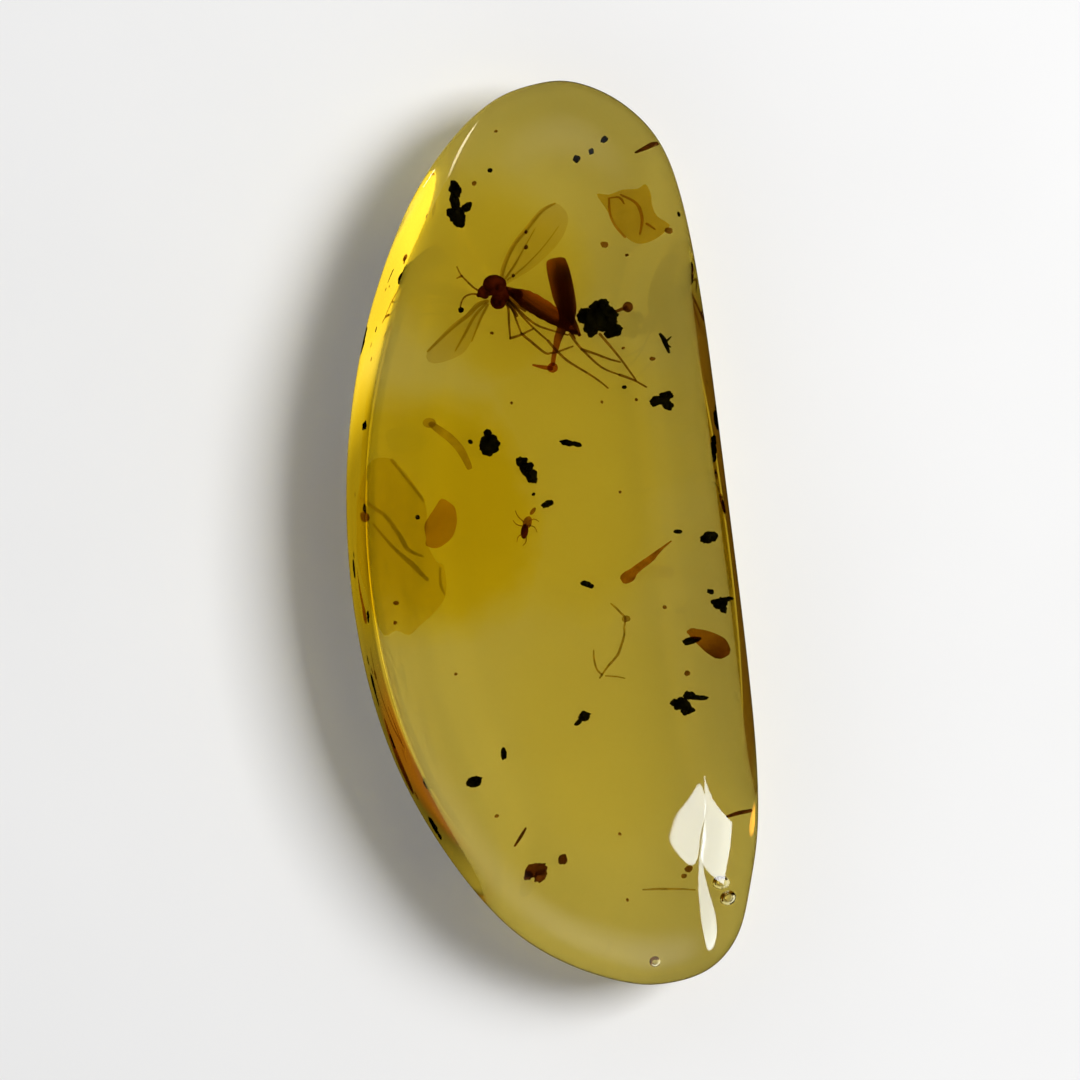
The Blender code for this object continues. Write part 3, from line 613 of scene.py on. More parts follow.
RESIN_COVER = (1.5, 0.02, 0.14)
CREASE_TINT = (0.90, 0.70, 0.30)
CREASE_COVER = (3.0, 0.05, 0.20)
ORANGE_FLAKE_LEVEL = 2.60
ORANGE_FLAKE = (
    (-2.64, 1.62), (-2.36, 1.40), (-2.28, 1.20), (-2.30, 0.85), (-2.44, 0.50), (-2.66, 0.30),
    (-2.95, 0.17), (-3.20, 0.28), (-3.18, 0.50), (-3.18, 0.86), (-3.06, 1.10), (-2.84, 1.40),
)
ORANGE_TINT = (0.93, 0.76, 0.34)
ORANGE_SOLID = (0.30, 0.12, 0.004)
ORANGE_COVER = (1.5, 0.03, 0.12)
MEMBRANE_LEVEL = 2.75
MEMBRANE = (
    (-4.18, 2.98), (-3.75, 2.93), (-3.50, 2.50), (-3.30, 2.10), (-3.10, 1.60), (-3.10, 1.00),
    (-3.20, 0.46), (-3.02, -0.20), (-2.82, -0.41), (-2.86, -1.21), (-3.20, -1.70),
    (-3.60, -2.05), (-3.89, -2.28), (-4.20, -2.10), (-4.56, -2.20), (-4.80, -1.50),
    (-4.92, -1.11), (-5.14, 0.10), (-5.04, 1.00), (-4.90, 1.91), (-4.50, 2.70),
)
MEMBRANE_FOLDS = (
    ((-4.85, 1.95, 0.03), (-4.40, 1.55, 0.05), (-4.10, 1.25, 0.05), (-3.80, 0.60, 0.06),
     (-3.66, 0.22, 0.055), (-3.32, -0.02, 0.03)),
    ((-4.50, 1.10, 0.03), (-4.00, 0.30, 0.05), (-3.60, -0.24, 0.07), (-3.30, -0.72, 0.05)),
    ((-3.75, 2.90, 0.05), (-3.44, 2.34, 0.06), (-3.12, 1.62, 0.04)),
    ((-2.94, -0.44, 0.03), (-2.98, -0.90, 0.04), (-2.90, -1.20, 0.03)),
)
FOLD_LIFT = 0.08
MEMBRANE_THICKNESS = 0.06
LEAF_TINT = (1.0, 0.955, 0.58)
LEAF_SOLID = (0.34, 0.20, 0.004)
LEAF_COVER = (0.8, 0.0, 0.06, (2.0, 0.6, 1.0))
FOLD_TINT = (0.99, 0.94, 0.66)
FOLD_COVER = (1.5, 0.0, 0.07)

resin_bm = bmesh.new()
add_sheet(resin_bm, RESIN_FLAKE, RESIN_FLAKE_LEVEL, RESIN_THICKNESS)
resin_finish = stained_finish("honey_resin", RESIN_TINT, RESIN_SOLID, RESIN_COVER)
sealed(smooth_piece("honey_flake", resin_bm, resin_finish), "honey_resin", "resin_flake")

crease_bm = bmesh.new()
for crease in RESIN_CREASES:
    add_rod(crease_bm, crease, RESIN_FLAKE_LEVEL + CREASE_LIFT)
crease_finish = stained_finish("resin_creases", CREASE_TINT, RESIN_SOLID, CREASE_COVER)
sealed(smooth_piece("honey_flake_creases", crease_bm, crease_finish), "honey_resin", "resin_flake")

orange_bm = bmesh.new()
add_sheet(orange_bm, ORANGE_FLAKE, ORANGE_FLAKE_LEVEL, RESIN_THICKNESS)
orange_finish = stained_finish("orange_resin", ORANGE_TINT, ORANGE_SOLID, ORANGE_COVER)
sealed(smooth_piece("orange_resin_flake", orange_bm, orange_finish), "orange_resin",
       "orange_flake")

membrane_bm = bmesh.new()
add_sheet(membrane_bm, MEMBRANE, MEMBRANE_LEVEL, MEMBRANE_THICKNESS)
leaf_finish = stained_finish("leaf_film", LEAF_TINT, LEAF_SOLID, LEAF_COVER)
sealed(smooth_piece("leaf_film", membrane_bm, leaf_finish), "leaf", "leaf_membrane")

folds_bm = bmesh.new()
for fold in MEMBRANE_FOLDS:
    add_rod(folds_bm, fold, MEMBRANE_LEVEL + FOLD_LIFT)
fold_finish = stained_finish("leaf_folds", FOLD_TINT, LEAF_SOLID, FOLD_COVER)
sealed(smooth_piece("leaf_folds", folds_bm, fold_finish), "leaf", "leaf_membrane")


# ---------------------------------------------------------------- flow film
# The resin came down the bark in flows. The film where two of them met is a deeper yellow
# in soft patches, the strongest one beside the leaf membrane.
FLOW_LEVEL = 1.10
FLOW_FILM = ((1.6, -12.2), (3.6, -11.2), (4.4, -8.0), (4.6, 0.0), (4.5, 7.0), (3.6, 11.2),
             (1.4, 12.2), (-0.8, 10.4), (-2.8, 7.0), (-3.9, 3.4), (-4.3, 0.0), (-4.0, -3.6),
             (-2.8, -7.2), (-0.8, -10.6))
FLOW_THICKNESS = 0.02
FLOW_TINT = (0.99, 0.957, 0.50)
FLOW_RIPPLE = (0.5, -0.10, 0.10)
FLOW_FADE = (0.70, 1.20)
FLOW_PATCHES = (
    ((-2.5, 1.3, 0.0), (2.9, 3.6, 1.0), 1.0), ((1.3, 1.9, 0.0), (2.6, 4.9, 1.0), 0.35),
    ((-0.2, 7.8, 0.0), (2.5, 2.9, 1.0), 0.55), ((1.2, -5.5, 0.0), (2.4, 4.0, 1.0), 0.08),
)


def flow_cover(here):
    """Share of the deeper yellow: the strongest of a few soft, oval patches."""
    ripple = cloud(here, *FLOW_RIPPLE)
    flat = here.node("ShaderNodeVectorMath", {0: here, 1: (1.0, 1.0, 0.0)}, operation="MULTIPLY")
    share = 0.0
    for middle, reach, strength in FLOW_PATCHES:
        off = flat.node("ShaderNodeVectorMath", {0: flat, 1: middle}, operation="SUBTRACT")
        off = off.node("ShaderNodeVectorMath", {0: off, 1: reach}, operation="DIVIDE")
        away = off.node("ShaderNodeVectorMath", {0: off}, output=1, operation="LENGTH") + ripple
        patch = ramp(away, FLOW_FADE, (strength, 0.0), soft=True)
        share = patch.math("MAXIMUM", patch, share)
    return share


def film_finish(name, tint, cover):
    """Clear film that is tinted where cover(here) says so."""
    material = stained_finish(name, tint, (1.0, 1.0, 1.0), cover)
    tree = material.node_tree
    both = tree.nodes["Mix Shader"]
    plain = tree.nodes.new("ShaderNodeBsdfTransparent")
    tree.links.new(both.inputs[1].links[0].from_socket, both.inputs[2])
    tree.links.new(plain.outputs["BSDF"], both.inputs[1])
    return material


flow_bm = bmesh.new()
add_sheet(flow_bm, FLOW_FILM, FLOW_LEVEL, FLOW_THICKNESS)
flow_finish = film_finish("flow_film", FLOW_TINT, flow_cover)
sealed(smooth_piece("flow_film", flow_bm, flow_finish), "amber")


# ---------------------------------------------------------------- plant hair, seed and mite
# A pale, hollow plant hair with a round head; a soft, pear-shaped seed, darkest at its
# broad end; and a mite with a dark, spindle-shaped body and clear legs.
PLANT_HAIR_LEVEL = 2.55
PLANT_HAIR = (
    (-2.62, 3.84, 0.08), (-2.48, 3.68, 0.11), (-2.32, 3.52, 0.12), (-2.16, 3.35, 0.12),
    (-1.96, 3.06, 0.12), (-1.84, 2.78, 0.11), (-1.74, 2.46, 0.09),
)
PLANT_HAIR_HEAD = (-2.66, 3.88, 2.55, 0.32, 0.30, 0.30, 0)
HAIR_TINT = (0.955, 0.88, 0.62)
HAIR_SOLID = (0.22, 0.11, 0.004)
HAIR_COVER = (2.0, 0.02, 0.25)
SEED_LEVEL = 2.60
SEED = ((3.93, -3.22, 0.10), (4.04, -3.34, 0.17), (4.18, -3.50, 0.23), (4.34, -3.70, 0.28),
        (4.44, -3.88, 0.26))
SEED_TINT = (0.90, 0.62, 0.22)
SEED_DARK = (0.09, 0.016, 0.001)
SEED_BROAD = (4.42, -3.92, 2.60)
SEED_FADE = ((0.10, 0.55), (0.75, 0.22))
SEED_GRAIN = (2.5, 0.85, 1.15)
MITE_BODY = (-0.36, 0.36, 2.60, 0.22, 0.46, 0.20, -14)
MITE_BACK = (-0.25, 0.60, 2.62, 0.26, 0.40, 0.18, -24)
MITE_FLAP = (-0.05, 0.92, 2.60, 0.12, 0.26, 0.05, -42)
MITE_LEGS = (
    ((-0.34, 0.62), (-0.50, 0.82), (-0.56, 1.00)), ((-0.36, 0.50), (-0.56, 0.58), (-0.66, 0.72)),
    ((-0.38, 0.30), (-0.56, 0.22), (-0.62, 0.08)), ((-0.22, 0.52), (-0.06, 0.44), (0.00, 0.28)),
    ((-0.20, 0.64), (-0.04, 0.68), (0.08, 0.60)), ((-0.34, 0.20), (-0.36, 0.04), (-0.46, -0.06)),
)
MITE_LEG_LEVEL = 2.58
MITE_LEG_RADII = (0.018, 0.010)
MITE_DARK = (0.020, 0.0025, 0.0005)
MITE_TINT = (0.85, 0.60, 0.25)
MITE_COVER = (5.0, 0.05, 0.50)

hair_bm = bmesh.new()
add_rod(hair_bm, PLANT_HAIR, PLANT_HAIR_LEVEL, sides=12)
add_lump(hair_bm, PLANT_HAIR_HEAD, grain=0.03)
hair_finish = stained_finish("plant_hair", HAIR_TINT, HAIR_SOLID, HAIR_COVER)
sealed(smooth_piece("bent_plant_hair", hair_bm, hair_finish), "honey_resin", "plant_hair")


def distance(here, middle):
    """How far a place is from a middle."""
    return here.node("ShaderNodeVectorMath", {0: here, 1: middle}, output=1, operation="DISTANCE")


def seed_cover(here):
    """More solid towards the broad end."""
    return ramp(distance(here, SEED_BROAD), *SEED_FADE) * cloud(here, *SEED_GRAIN)


seed_bm = bmesh.new()
add_rod(seed_bm, SEED, SEED_LEVEL, sides=16)
seed_finish = stained_finish("seed_skin", SEED_TINT, SEED_DARK, seed_cover)
sealed(smooth_piece("pear_shaped_seed", seed_bm, seed_finish), "orange_resin", "seed")

mite_bm = bmesh.new()
add_lump(mite_bm, MITE_BODY, grain=0.05)
mite_finish = solid_finish("mite_body", MITE_DARK, THORAX_RED, scale=6.0, roughness=0.4)
sealed(smooth_piece("mite_body", mite_bm, mite_finish), "mite_skin", "mite")

limbs_bm = bmesh.new()
add_lump(limbs_bm, MITE_BACK, grain=0.05)
add_lump(limbs_bm, MITE_FLAP, grain=0.02)
for limb in MITE_LEGS:
    add_rod(limbs_bm, thinning(limb, MITE_LEG_RADII), MITE_LEG_LEVEL)
limb_finish = stained_finish("mite_limbs", MITE_TINT, SPORE_DARK, MITE_COVER)
sealed(smooth_piece("mite_back_and_legs", limbs_bm, limb_finish), "mite_skin", "mite")


# ---------------------------------------------------------------- threads and slivers
# Loose plant threads, one curled round a small knot, a straight fibre, two brown slivers
# at the rim and a black sliver that forks.
THREAD_LEVEL = 2.50
THREAD_RISE = 0.10
THREADS = (
    ((1.86, -2.10, 0.02), (2.00, -2.26, 0.03), (2.10, -2.40, 0.03), (2.22, -2.58, 0.035),
     (2.16, -2.84, 0.03), (2.14, -3.04, 0.03), (2.08, -3.22, 0.035), (1.98, -3.44, 0.035),
     (1.89, -3.62, 0.04), (1.74, -3.78, 0.035), (1.59, -3.91, 0.035), (1.44, -4.08, 0.03),
     (1.30, -4.26, 0.025)),
    ((1.22, -3.42, 0.02), (1.20, -3.70, 0.03), (1.24, -3.98, 0.03), (1.36, -4.16, 0.025)),
    ((1.46, -4.22, 0.02), (1.76, -4.28, 0.02), (2.00, -4.36, 0.015)),
)
THREAD_KNOT = (2.24, -2.61, 2.51, 0.26, 0.20, 0.20, -10)
FIBRE = ((1.80, -10.61, 0.02), (2.20, -10.64, 0.03), (2.51, -10.68, 0.03), (3.15, -10.76, 0.02))
FIBRE_LEVEL = 2.60
THREAD_TINT = (0.89, 0.78, 0.52)
THREAD_SOLID = (0.09, 0.05, 0.003)
THREAD_COVER = (4.0, 0.05, 0.36)
SLIVER_LEVEL = 2.65
LEFT_SLIVER = ((-1.60, -8.80, 0.03), (-1.46, -8.58, 0.045), (-1.34, -8.39, 0.03))
RIGHT_SLIVER = ((4.10, -8.76, 0.04), (4.40, -8.70, 0.06), (4.85, -8.70, 0.05))
TOP_SLIVER = ((3.88, 10.94, 0.03), (4.16, 11.06, 0.06), (4.42, 11.18, 0.07), (4.72, 11.28, 0.05))
BROWN_TINT = (0.70, 0.42, 0.28)
BROWN_DARK = (0.06, 0.016, 0.003)
BROWN_COVER = (3.0, 0.25, 0.80)
FORKED_SLIVER = ((4.00, 5.70, 0.03), (4.05, 5.56, 0.045), (4.08, 5.42, 0.05), (4.13, 5.12, 0.025))
FORKED_TINES = (((4.08, 5.44, 0.035), (4.21, 5.58, 0.015)),
                ((4.08, 5.38, 0.035), (4.17, 5.28, 0.02)))
BARK_BLACK = (0.0022, 0.0018, 0.0012)
BARK_GREEN = (0.010, 0.009, 0.003)

thread_finish = stained_finish("thread", THREAD_TINT, THREAD_SOLID, THREAD_COVER)
thread_bm = bmesh.new()
for thread in THREADS:
    add_rod(thread_bm, thread, THREAD_LEVEL, THREAD_RISE, sides=6)
add_lump(thread_bm, THREAD_KNOT, grain=0.20)
sealed(smooth_piece("curled_threads", thread_bm, thread_finish), "thread", "curled_thread")

fibre_bm = bmesh.new()
add_rod(fibre_bm, FIBRE, FIBRE_LEVEL, sides=6)
sealed(smooth_piece("straight_fibre", fibre_bm, thread_finish), "thread", "fibre")

brown_finish = stained_finish("brown_bark", BROWN_TINT, BROWN_DARK, BROWN_COVER)
for name, sliver, nodes in (("left_sliver", LEFT_SLIVER, ("brown_sliver_left",)),
                            ("right_sliver", RIGHT_SLIVER, ("brown_sliver_right",)),
                            ("top_sliver", TOP_SLIVER, ())):
    sliver_bm = bmesh.new()
    add_rod(sliver_bm, sliver, SLIVER_LEVEL)
    sealed(smooth_piece(name, sliver_bm, brown_finish), "brown_bark", *nodes)

bark_finish = solid_finish("black_bark", BARK_BLACK, BARK_GREEN, scale=2.5, roughness=0.7)
forked_bm = bmesh.new()
add_rod(forked_bm, FORKED_SLIVER, SLIVER_LEVEL)
for tine in FORKED_TINES:
    add_rod(forked_bm, tine, SLIVER_LEVEL)
sealed(smooth_piece("forked_bark_sliver", forked_bm, bark_finish), "black_bark", "forked_sliver")


# ---------------------------------------------------------------- bark crumbs
# Crumbs of charred bark, black and lobed, and two brown ones near the narrow end. Each
# grew from a few lumps, given as (x, y, z, length, width, height, turn).
BARK_GRAIN = 0.42
BARK_CRUMBS = {
    "bark_clump": (
        (2.50, 6.36, 3.25, 0.70, 0.62, 0.60, 0), (2.16, 6.48, 3.22, 0.46, 0.50, 0.44, 10),
        (2.62, 6.70, 3.25, 0.50, 0.44, 0.44, 0), (2.82, 6.40, 3.28, 0.52, 0.56, 0.50, 20),
        (2.94, 5.98, 3.25, 0.44, 0.42, 0.42, 0), (2.26, 6.06, 3.22, 0.38, 0.40, 0.38, 0),
        (2.78, 5.88, 3.20, 0.30, 0.26, 0.30, 0), (2.66, 6.16, 3.25, 0.50, 0.40, 0.44, 0),
    ),
    "bark_crumb_upper_left": (
        (-0.88, 10.48, 2.60, 0.30, 0.44, 0.30, 8), (-0.93, 10.10, 2.60, 0.24, 0.56, 0.28, 6),
        (-0.92, 9.76, 2.60, 0.44, 0.44, 0.44, 20), (-0.90, 9.56, 2.60, 0.30, 0.30, 0.34, 0),
        (-0.64, 9.96, 2.60, 0.34, 0.20, 0.24, 32), (-1.08, 9.84, 2.60, 0.24, 0.26, 0.26, 0),
    ),
    "bark_crumb_oval": ((-1.08, 3.02, 2.60, 0.54, 0.64, 0.50, -20),
                        (-1.08, 3.38, 2.60, 0.22, 0.26, 0.20, 0)),
    "bark_crumb_chip": ((-0.20, 2.42, 2.60, 0.34, 0.30, 0.30, 26),
                        (-0.08, 2.20, 2.60, 0.40, 0.42, 0.30, 24),
                        (0.03, 1.96, 2.60, 0.34, 0.42, 0.26, 24)),
    "bark_crumb_flat": ((1.18, 2.82, 2.60, 0.36, 0.18, 0.18, -16),
                        (1.42, 2.75, 2.60, 0.34, 0.14, 0.14, -18)),
    "bark_crumb_middle": ((0.39, 1.08, 2.60, 0.36, 0.18, 0.18, 12),),
    "bark_crumb_small": ((1.22, -1.42, 2.60, 0.26, 0.18, 0.18, -22),
                         (1.34, -1.50, 2.60, 0.18, 0.14, 0.14, -22)),
    "bark_crumb_right": ((3.74, 3.74, 1.60, 0.26, 0.30, 0.32, -20),
                         (3.84, 3.86, 1.60, 0.16, 0.26, 0.26, 0),
                         (3.85, 3.58, 1.60, 0.12, 0.32, 0.22, 10)),
    "bark_crumb_bead": ((4.51, -0.50, 2.60, 0.38, 0.32, 0.30, 16),),
    "bark_crumb_edge": ((4.60, -2.52, 2.60, 0.34, 0.34, 0.32, 20),
                        (4.48, -2.44, 2.60, 0.22, 0.18, 0.20, 0),
                        (4.84, -2.39, 2.60, 0.44, 0.12, 0.16, -4),
                        (4.66, -2.70, 2.60, 0.18, 0.20, 0.20, 20)),
    "bark_crumb_seed": ((3.88, -3.49, 2.60, 0.34, 0.20, 0.20, 16),),
    "bark_crumb_lobed": ((3.50, -5.34, 2.60, 0.46, 0.36, 0.40, -14),
                         (3.32, -5.26, 2.60, 0.26, 0.20, 0.22, 0),
                         (3.70, -5.10, 2.60, 0.24, 0.24, 0.24, 0),
                         (3.88, -5.20, 2.60, 0.30, 0.14, 0.18, -14),
                         (3.62, -5.54, 2.60, 0.30, 0.26, 0.26, 20)),
    "bark_crumb_tailed": ((0.72, -5.34, 2.60, 0.32, 0.28, 0.26, 30),
                          (0.53, -5.49, 2.60, 0.28, 0.13, 0.14, 38)),
    "bark_crumb_lower_left": ((-2.56, -6.80, 2.60, 0.40, 0.30, 0.26, -8),),
    "bark_crumb_upright": ((-1.74, -6.14, 2.60, 0.17, 0.34, 0.18, 0),),
}
BROWN_CRUMBS = {
    "bark_crumb_brown": ((-1.10, -9.56, 2.60, 0.50, 0.34, 0.32, -10),
                         (-0.98, -9.74, 2.60, 0.28, 0.30, 0.24, 0),
                         (-1.26, -9.66, 2.60, 0.22, 0.22, 0.20, 0)),
    "bark_crumb_brown_small": ((-0.39, -9.43, 2.60, 0.25, 0.28, 0.20, 0),),
}

for crumbs, finish, slot in ((BARK_CRUMBS, bark_finish, "black_bark"),
                             (BROWN_CRUMBS, brown_finish, "brown_bark")):
    for node, lobes in crumbs.items():
        crumb_bm = bmesh.new()
        for lobe in lobes:
            add_lump(crumb_bm, lobe, BARK_GRAIN, cuts=4)
        sealed(smooth_piece(node + "_rough", crumb_bm, finish), slot, node)


# ---------------------------------------------------------------- specks and bubbles
# Dust too fine for a solid of its own, given as (x, y, width), and round bubbles of air,
# whose dark rings are the light that their walls turn away.
BLACK_SPECKS = (
    (2.44, 11.05, 0.22), (2.81, 11.16, 0.16), (3.14, 11.39, 0.20), (4.85, 9.16, 0.16),
    (0.16, 10.92, 0.14), (-1.33, 7.07, 0.17), (-1.61, 3.20, 0.16), (0.03, 1.42, 0.12),
    (-3.30, 1.14, 0.14), (3.89, -0.21, 0.15), (4.39, -2.11, 0.17), (2.99, 4.26, 0.14),
)
BROWN_SPECKS = (
    (2.93, 8.54, 0.24), (3.51, 8.15, 0.11), (0.24, 7.94, 0.12), (0.76, 9.16, 0.12),
    (0.71, 8.72, 0.14), (-4.09, -1.30, 0.15), (-4.18, -1.87, 0.12), (3.74, -4.43, 0.17),
    (3.38, -2.40, 0.13), (1.33, -8.91, 0.10), (-0.32, 10.60, 0.14), (0.46, 11.95, 0.10),
    (-4.66, 1.33, 0.32), (3.12, -10.18, 0.22), (2.98, -10.37, 0.16), (3.81, 5.00, 0.12),
    (3.10, 5.42, 0.10), (3.30, 3.84, 0.10), (2.31, 3.90, 0.10), (-0.28, 4.20, 0.10),
    (-0.59, 6.33, 0.11), (2.51, 1.17, 0.10), (-2.03, -7.88, 0.12), (-2.84, -3.61, 0.10),
    (1.34, -10.83, 0.10), (4.42, 8.69, 0.22),
)
SPECK_LEVEL = 2.60
SPECK_GRAIN = 0.35
SPECK_WIDTH = 0.85
SPECK_HEIGHT = 0.80
DUST_TINT = (0.82, 0.62, 0.40)
DUST_DARK = (0.09, 0.026, 0.003)
DUST_COVER = (3.0, 0.10, 0.55)
BUBBLES = ((3.67, -10.63, 2.60, 0.20), (3.79, -11.08, 2.60, 0.21),
           (1.93, -12.43, 2.60, 0.15))
BUBBLE_IOR = 1.0 / AMBER_IOR

dust_finish = stained_finish("brown_dust", DUST_TINT, DUST_DARK, DUST_COVER)
for name, specks, finish, slot in (("black_specks", BLACK_SPECKS, bark_finish, "black_bark"),
                                   ("brown_specks", BROWN_SPECKS, dust_finish, "brown_bark")):
    specks_bm = bmesh.new()
    for x, y, long in specks:
        any_turn = 360 * x
        add_lump(specks_bm, (x, y, SPECK_LEVEL, long, SPECK_WIDTH * long, SPECK_HEIGHT * long,
                             any_turn), SPECK_GRAIN, cuts=2)
    sealed(smooth_piece(name, specks_bm, finish), slot)

bubbles_bm = bmesh.new()
for x, y, z, radius in BUBBLES:
    add_lump(bubbles_bm, (x, y, z, 2 * radius, 2 * radius, 2 * radius, 0))
air_finish = new_finish("air_bubble", Base_Color=(1.0, 1.0, 1.0, 1.0), Roughness=0.0,
                        Transmission_Weight=1.0, IOR=BUBBLE_IOR)[0]
sealed(smooth_piece("air_bubbles", bubbles_bm, air_finish), "amber")


# ---------------------------------------------------------------- floor, light and camera
# A pale table top, with a painted shadow beside the drop, in a white room. Panels of light
# stand for the windows and walls round it, and the camera looks straight down, turned so
# that the drop leans.
FLOOR_REACH = 400.0
FLOOR_DROP = 0.04
TABLE_LIGHT = (0.82, 0.82, 0.82)
TABLE_GREY = (0.80, 0.80, 0.80)
TABLE_GRAIN = (0.08, 0.0, 1.0)
# Painted shadow beside the curved side: its cool, darker tint and where on the table it lies.
PAINTED_SHADOW_TINT = (0.54, 0.575, 0.79)
PAINTED_SHADOW_MIDDLE = (12.8, -0.3, 0.0)
PAINTED_SHADOW_START = (18.15, 18.55)
PAINTED_SHADOW_FADE = (18.65, 21.05)
PAINTED_SHADOW_LENGTH = (8.5, 12.5)

floor_bm = bmesh.new()
bmesh.ops.create_grid(floor_bm, x_segments=1, y_segments=1, size=FLOOR_REACH)
bmesh.ops.translate(floor_bm, verts=floor_bm.verts, vec=(0.0, 0.0, -FLOOR_DROP))
floor_finish, floor_shader, floor_here = new_finish(
    "pale_table", Roughness=0.9, Specular_IOR_Level=0.0)
clouded = blend(cloud(floor_here, *TABLE_GRAIN), TABLE_LIGHT, TABLE_GREY)

# Painted shadow: a cool, darker grey painted on the table just beside the curved side, where
# the light that has come through the drop would leave the real shadow yellow.
away = distance(floor_here, PAINTED_SHADOW_MIDDLE)
upward = floor_here.node("ShaderNodeSeparateXYZ", {"Vector": floor_here}, output=1)
along = upward.math("ABSOLUTE", upward)
painted_shadow_mask = ramp(away, PAINTED_SHADOW_FADE, (1.0, 0.0), soft=True) * ramp(away, PAINTED_SHADOW_START, (0.0, 1.0))
painted_shadow_mask *= ramp(along, PAINTED_SHADOW_LENGTH, (1.0, 0.0), soft=True)
shaded = blend(painted_shadow_mask, clouded, PAINTED_SHADOW_TINT)
floor_finish.node_tree.links.new(shaded.socket, floor_shader.inputs["Base Color"])
floor = smooth_piece("floor", floor_bm, floor_finish)
floor.visible_glossy = False

# The room is brightest where its walls meet the ceiling. The polish doesn't mirror it.
ROOM_STRENGTH = 0.74
ROOM_SHADES = ((0.0, (0.05, 0.05, 0.05)), (0.25, (0.10, 0.10, 0.10)), (0.45, (0.85, 0.85, 0.85)),
               (0.62, (0.85, 0.85, 0.85)), (0.90, (0.15, 0.15, 0.15)), (1.0, (0.06, 0.06, 0.06)))

room = bpy.data.worlds.new("white_room")
bpy.context.scene.world = room
room.use_nodes = True
sky = Value(room.node_tree, room.node_tree.nodes.new("ShaderNodeTexCoord").outputs["Generated"])
height = sky.node("ShaderNodeSeparateXYZ", {"Vector": sky}, output=2)
ceiling = height.node("ShaderNodeValToRGB", {"Fac": height}, stops=ROOM_SHADES)
room_surface = room.node_tree.nodes["Background"]
room.node_tree.links.new(ceiling.socket, room_surface.inputs["Color"])
room_surface.inputs["Strength"].default_value = ROOM_STRENGTH
room.cycles_visibility.glossy = False
bpy.context.scene.view_settings.view_transform = "Standard"

# Panels, given as name, (azimuth, elevation, roll), (width, height), radiance, colour and
# core. Shadow boxes light only the table, glow boxes are seen only through the drop, and
# shine boxes only in its polish.
LIGHT_DISTANCE = 300.0
PANEL_MIDDLE = (0.5, 0.5, 0.0)
PANEL_EDGE = 0.5
WHITE = (1.0, 1.0, 1.0)
WINDOW = (0.84, 0.92, 0.98)
SHADOW_BOXES = (("key_box", (9.0, 49.0, 0.0), (115.0, 115.0), 22.4),)
GLOW_BOXES = (
    ("overhead_glow", (0.0, 90.0, 0.0), (480.0, 480.0), 0.42),
    ("side_glow", (34.0, 52.0, 0.0), (460.0, 290.0), 0.86, WHITE, 0.30),
    ("left_glow", (165.0, 52.0, 0.0), (330.0, 230.0), 0.90, WHITE, 0.30),
    ("low_window", (-53.0, 20.0, 0.0), (500.0, 300.0), 1.36, WHITE, 0.24),
    ("low_wall", (-12.0, 14.0, 0.0), (330.0, 230.0), 0.42, WHITE, 0.10),
    ("table_edge", (10.0, 3.0, 0.0), (140.0, 70.0), 0.50, WHITE, 0.20),
    ("warm_edge", (21.0, 10.0, 0.0), (180.0, 90.0), 0.30, (1.0, 0.36, 0.06), 0.20),
    ("brown_edge", (-178.0, 9.0, 0.0), (300.0, 120.0), 0.11, (1.0, 0.45, 0.14), 0.25),
)
SHINE_BOXES = (
    ("window_low", (-16.3, 26.6, -2.0), (38.0, 278.0), 12.8, WINDOW),
    ("window_high", (-20.2, 63.0, 16.5), (33.0, 150.0), 12.8, WINDOW, 0.46),
    ("window_tail", (-42.5, 19.0, -22.0), (98.0, 500.0), 11.4, WINDOW, 0.44),
    ("door_gap", (130.0, -20.5, -24.5), (12.0, 195.0), 7.0, (1.0, 0.93, 0.70), 0.30),
    ("door_glint", (136.0, -44.0, 0.0), (14.0, 14.0), 5.0),
    ("ember_glow", (-15.3, -46.0, 0.0), (20.0, 130.0), 5.0, (1.0, 0.42, 0.04), 0.25),
    ("left_sheen", (-140.0, 8.0, 0.0), (400.0, 420.0), 0.62, WHITE, 0.0),
    ("near_sheen", (-97.0, 12.0, 0.0), (620.0, 420.0), 1.1, WHITE, 0.0),
    ("far_sheen", (78.0, 40.0, 0.0), (620.0, 420.0), 0.60, WHITE, 0.0),
)


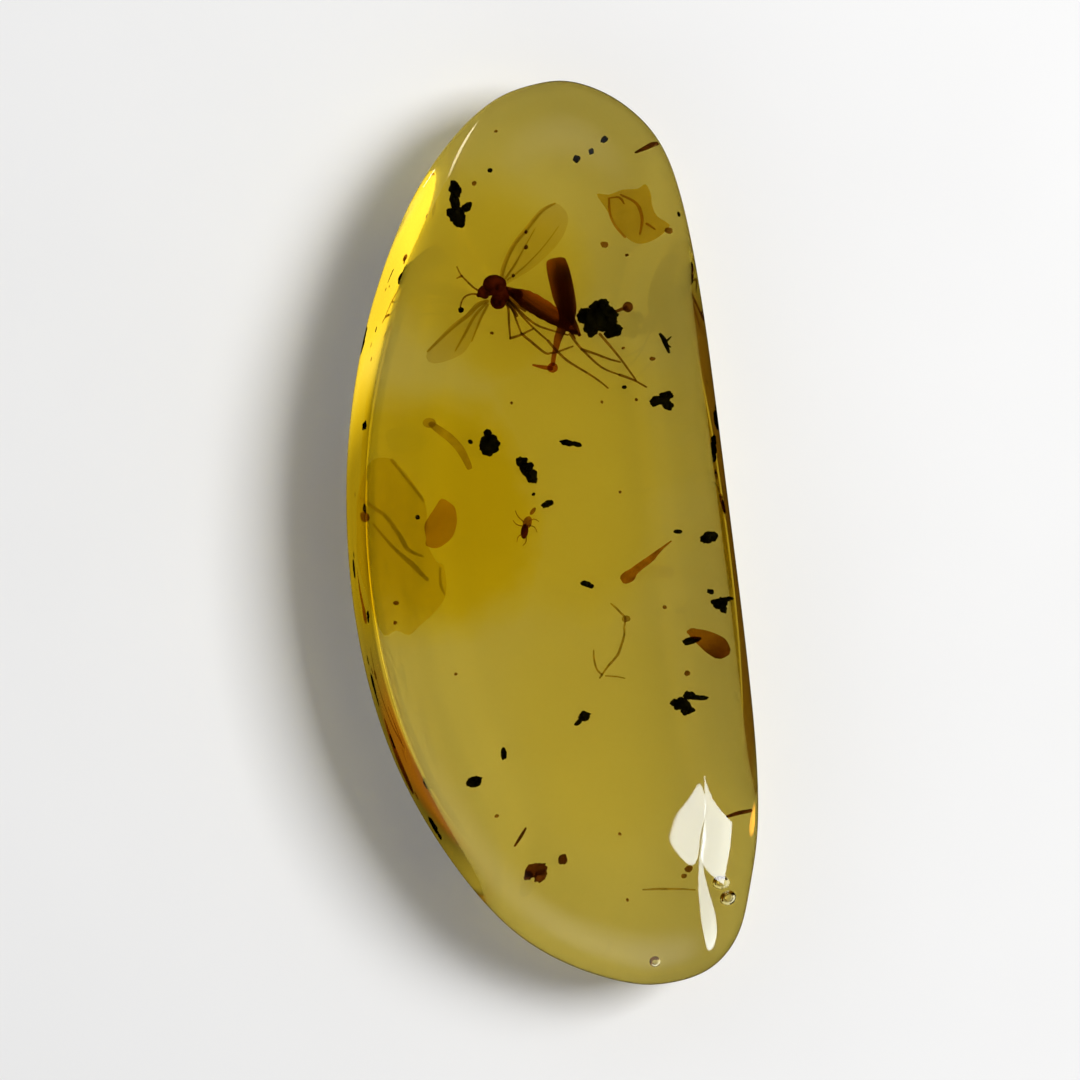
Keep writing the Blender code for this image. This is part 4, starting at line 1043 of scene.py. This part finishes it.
def soft_box(name, place, size, radiance, color=WHITE, core=PANEL_EDGE):
    """Panel aimed at the drop. Outside its core, a share of its width, it fades out."""
    azimuth, elevation, roll = (math.radians(angle) for angle in place)
    light = bpy.data.lights.new(name, "AREA")
    light.shape = "RECTANGLE"
    light.size, light.size_y = (side * MM for side in size)
    light.energy = math.pi * radiance * light.size * light.size_y
    light.color = color
    if core < PANEL_EDGE:
        light.use_nodes = True
        tree = light.node_tree
        across = Value(tree, tree.nodes.new("ShaderNodeNewGeometry").outputs["Parametric"])
        fade = ramp(distance(across, PANEL_MIDDLE), (core, PANEL_EDGE), (1.0, 0.0), soft=True)
        tree.links.new(fade.socket, tree.nodes["Emission"].inputs["Strength"])
    lamp = bpy.data.objects.new(name, light)
    outward = Vector((math.cos(azimuth) * math.cos(elevation),
                      math.sin(azimuth) * math.cos(elevation), math.sin(elevation)))
    lamp.location = outward * LIGHT_DISTANCE * MM
    rolled = outward.to_track_quat("Z", "Y") @ Quaternion((0.0, 0.0, 1.0), roll)
    lamp.rotation_euler = rolled.to_euler()
    bpy.context.scene.collection.objects.link(lamp)
    return lamp


drop_only = bpy.data.collections.new("drop_only")
for piece in bpy.context.scene.objects:
    if piece.type == "MESH" and piece != floor:
        drop_only.objects.link(piece)
table_only = bpy.data.collections.new("table_only")
table_only.objects.link(floor)
for boxes, lit, unseen in (
        (SHADOW_BOXES, table_only, ("visible_glossy", "visible_transmission")),
        (GLOW_BOXES, drop_only, ("visible_glossy",)),
        (SHINE_BOXES, drop_only, ("visible_transmission", "visible_diffuse"))):
    for box in boxes:
        lamp = soft_box(*box)
        lamp.light_linking.receiver_collection = lit
        for rays in unseen:
            setattr(lamp, rays, False)

# The lens is long, so that the steep sides hardly show.
LEAN = math.radians(7.0)
VIEW_CENTER = (0.031, 0.041)
VIEW_WIDTH = 32.4
LENS = 200.0
SENSOR = 36.0

camera_data = bpy.data.cameras.new("camera")
camera_data.lens = LENS
camera_data.sensor_width = SENSOR
camera_data.clip_start = 1.0 * MM
camera = bpy.data.objects.new("camera", camera_data)
camera_height = GIRDLE + VIEW_WIDTH * LENS / SENSOR
camera.location = Vector((*VIEW_CENTER, camera_height)) * MM
camera.rotation_euler = (0.0, 0.0, -LEAN)
bpy.context.scene.collection.objects.link(camera)
bpy.context.scene.camera = camera
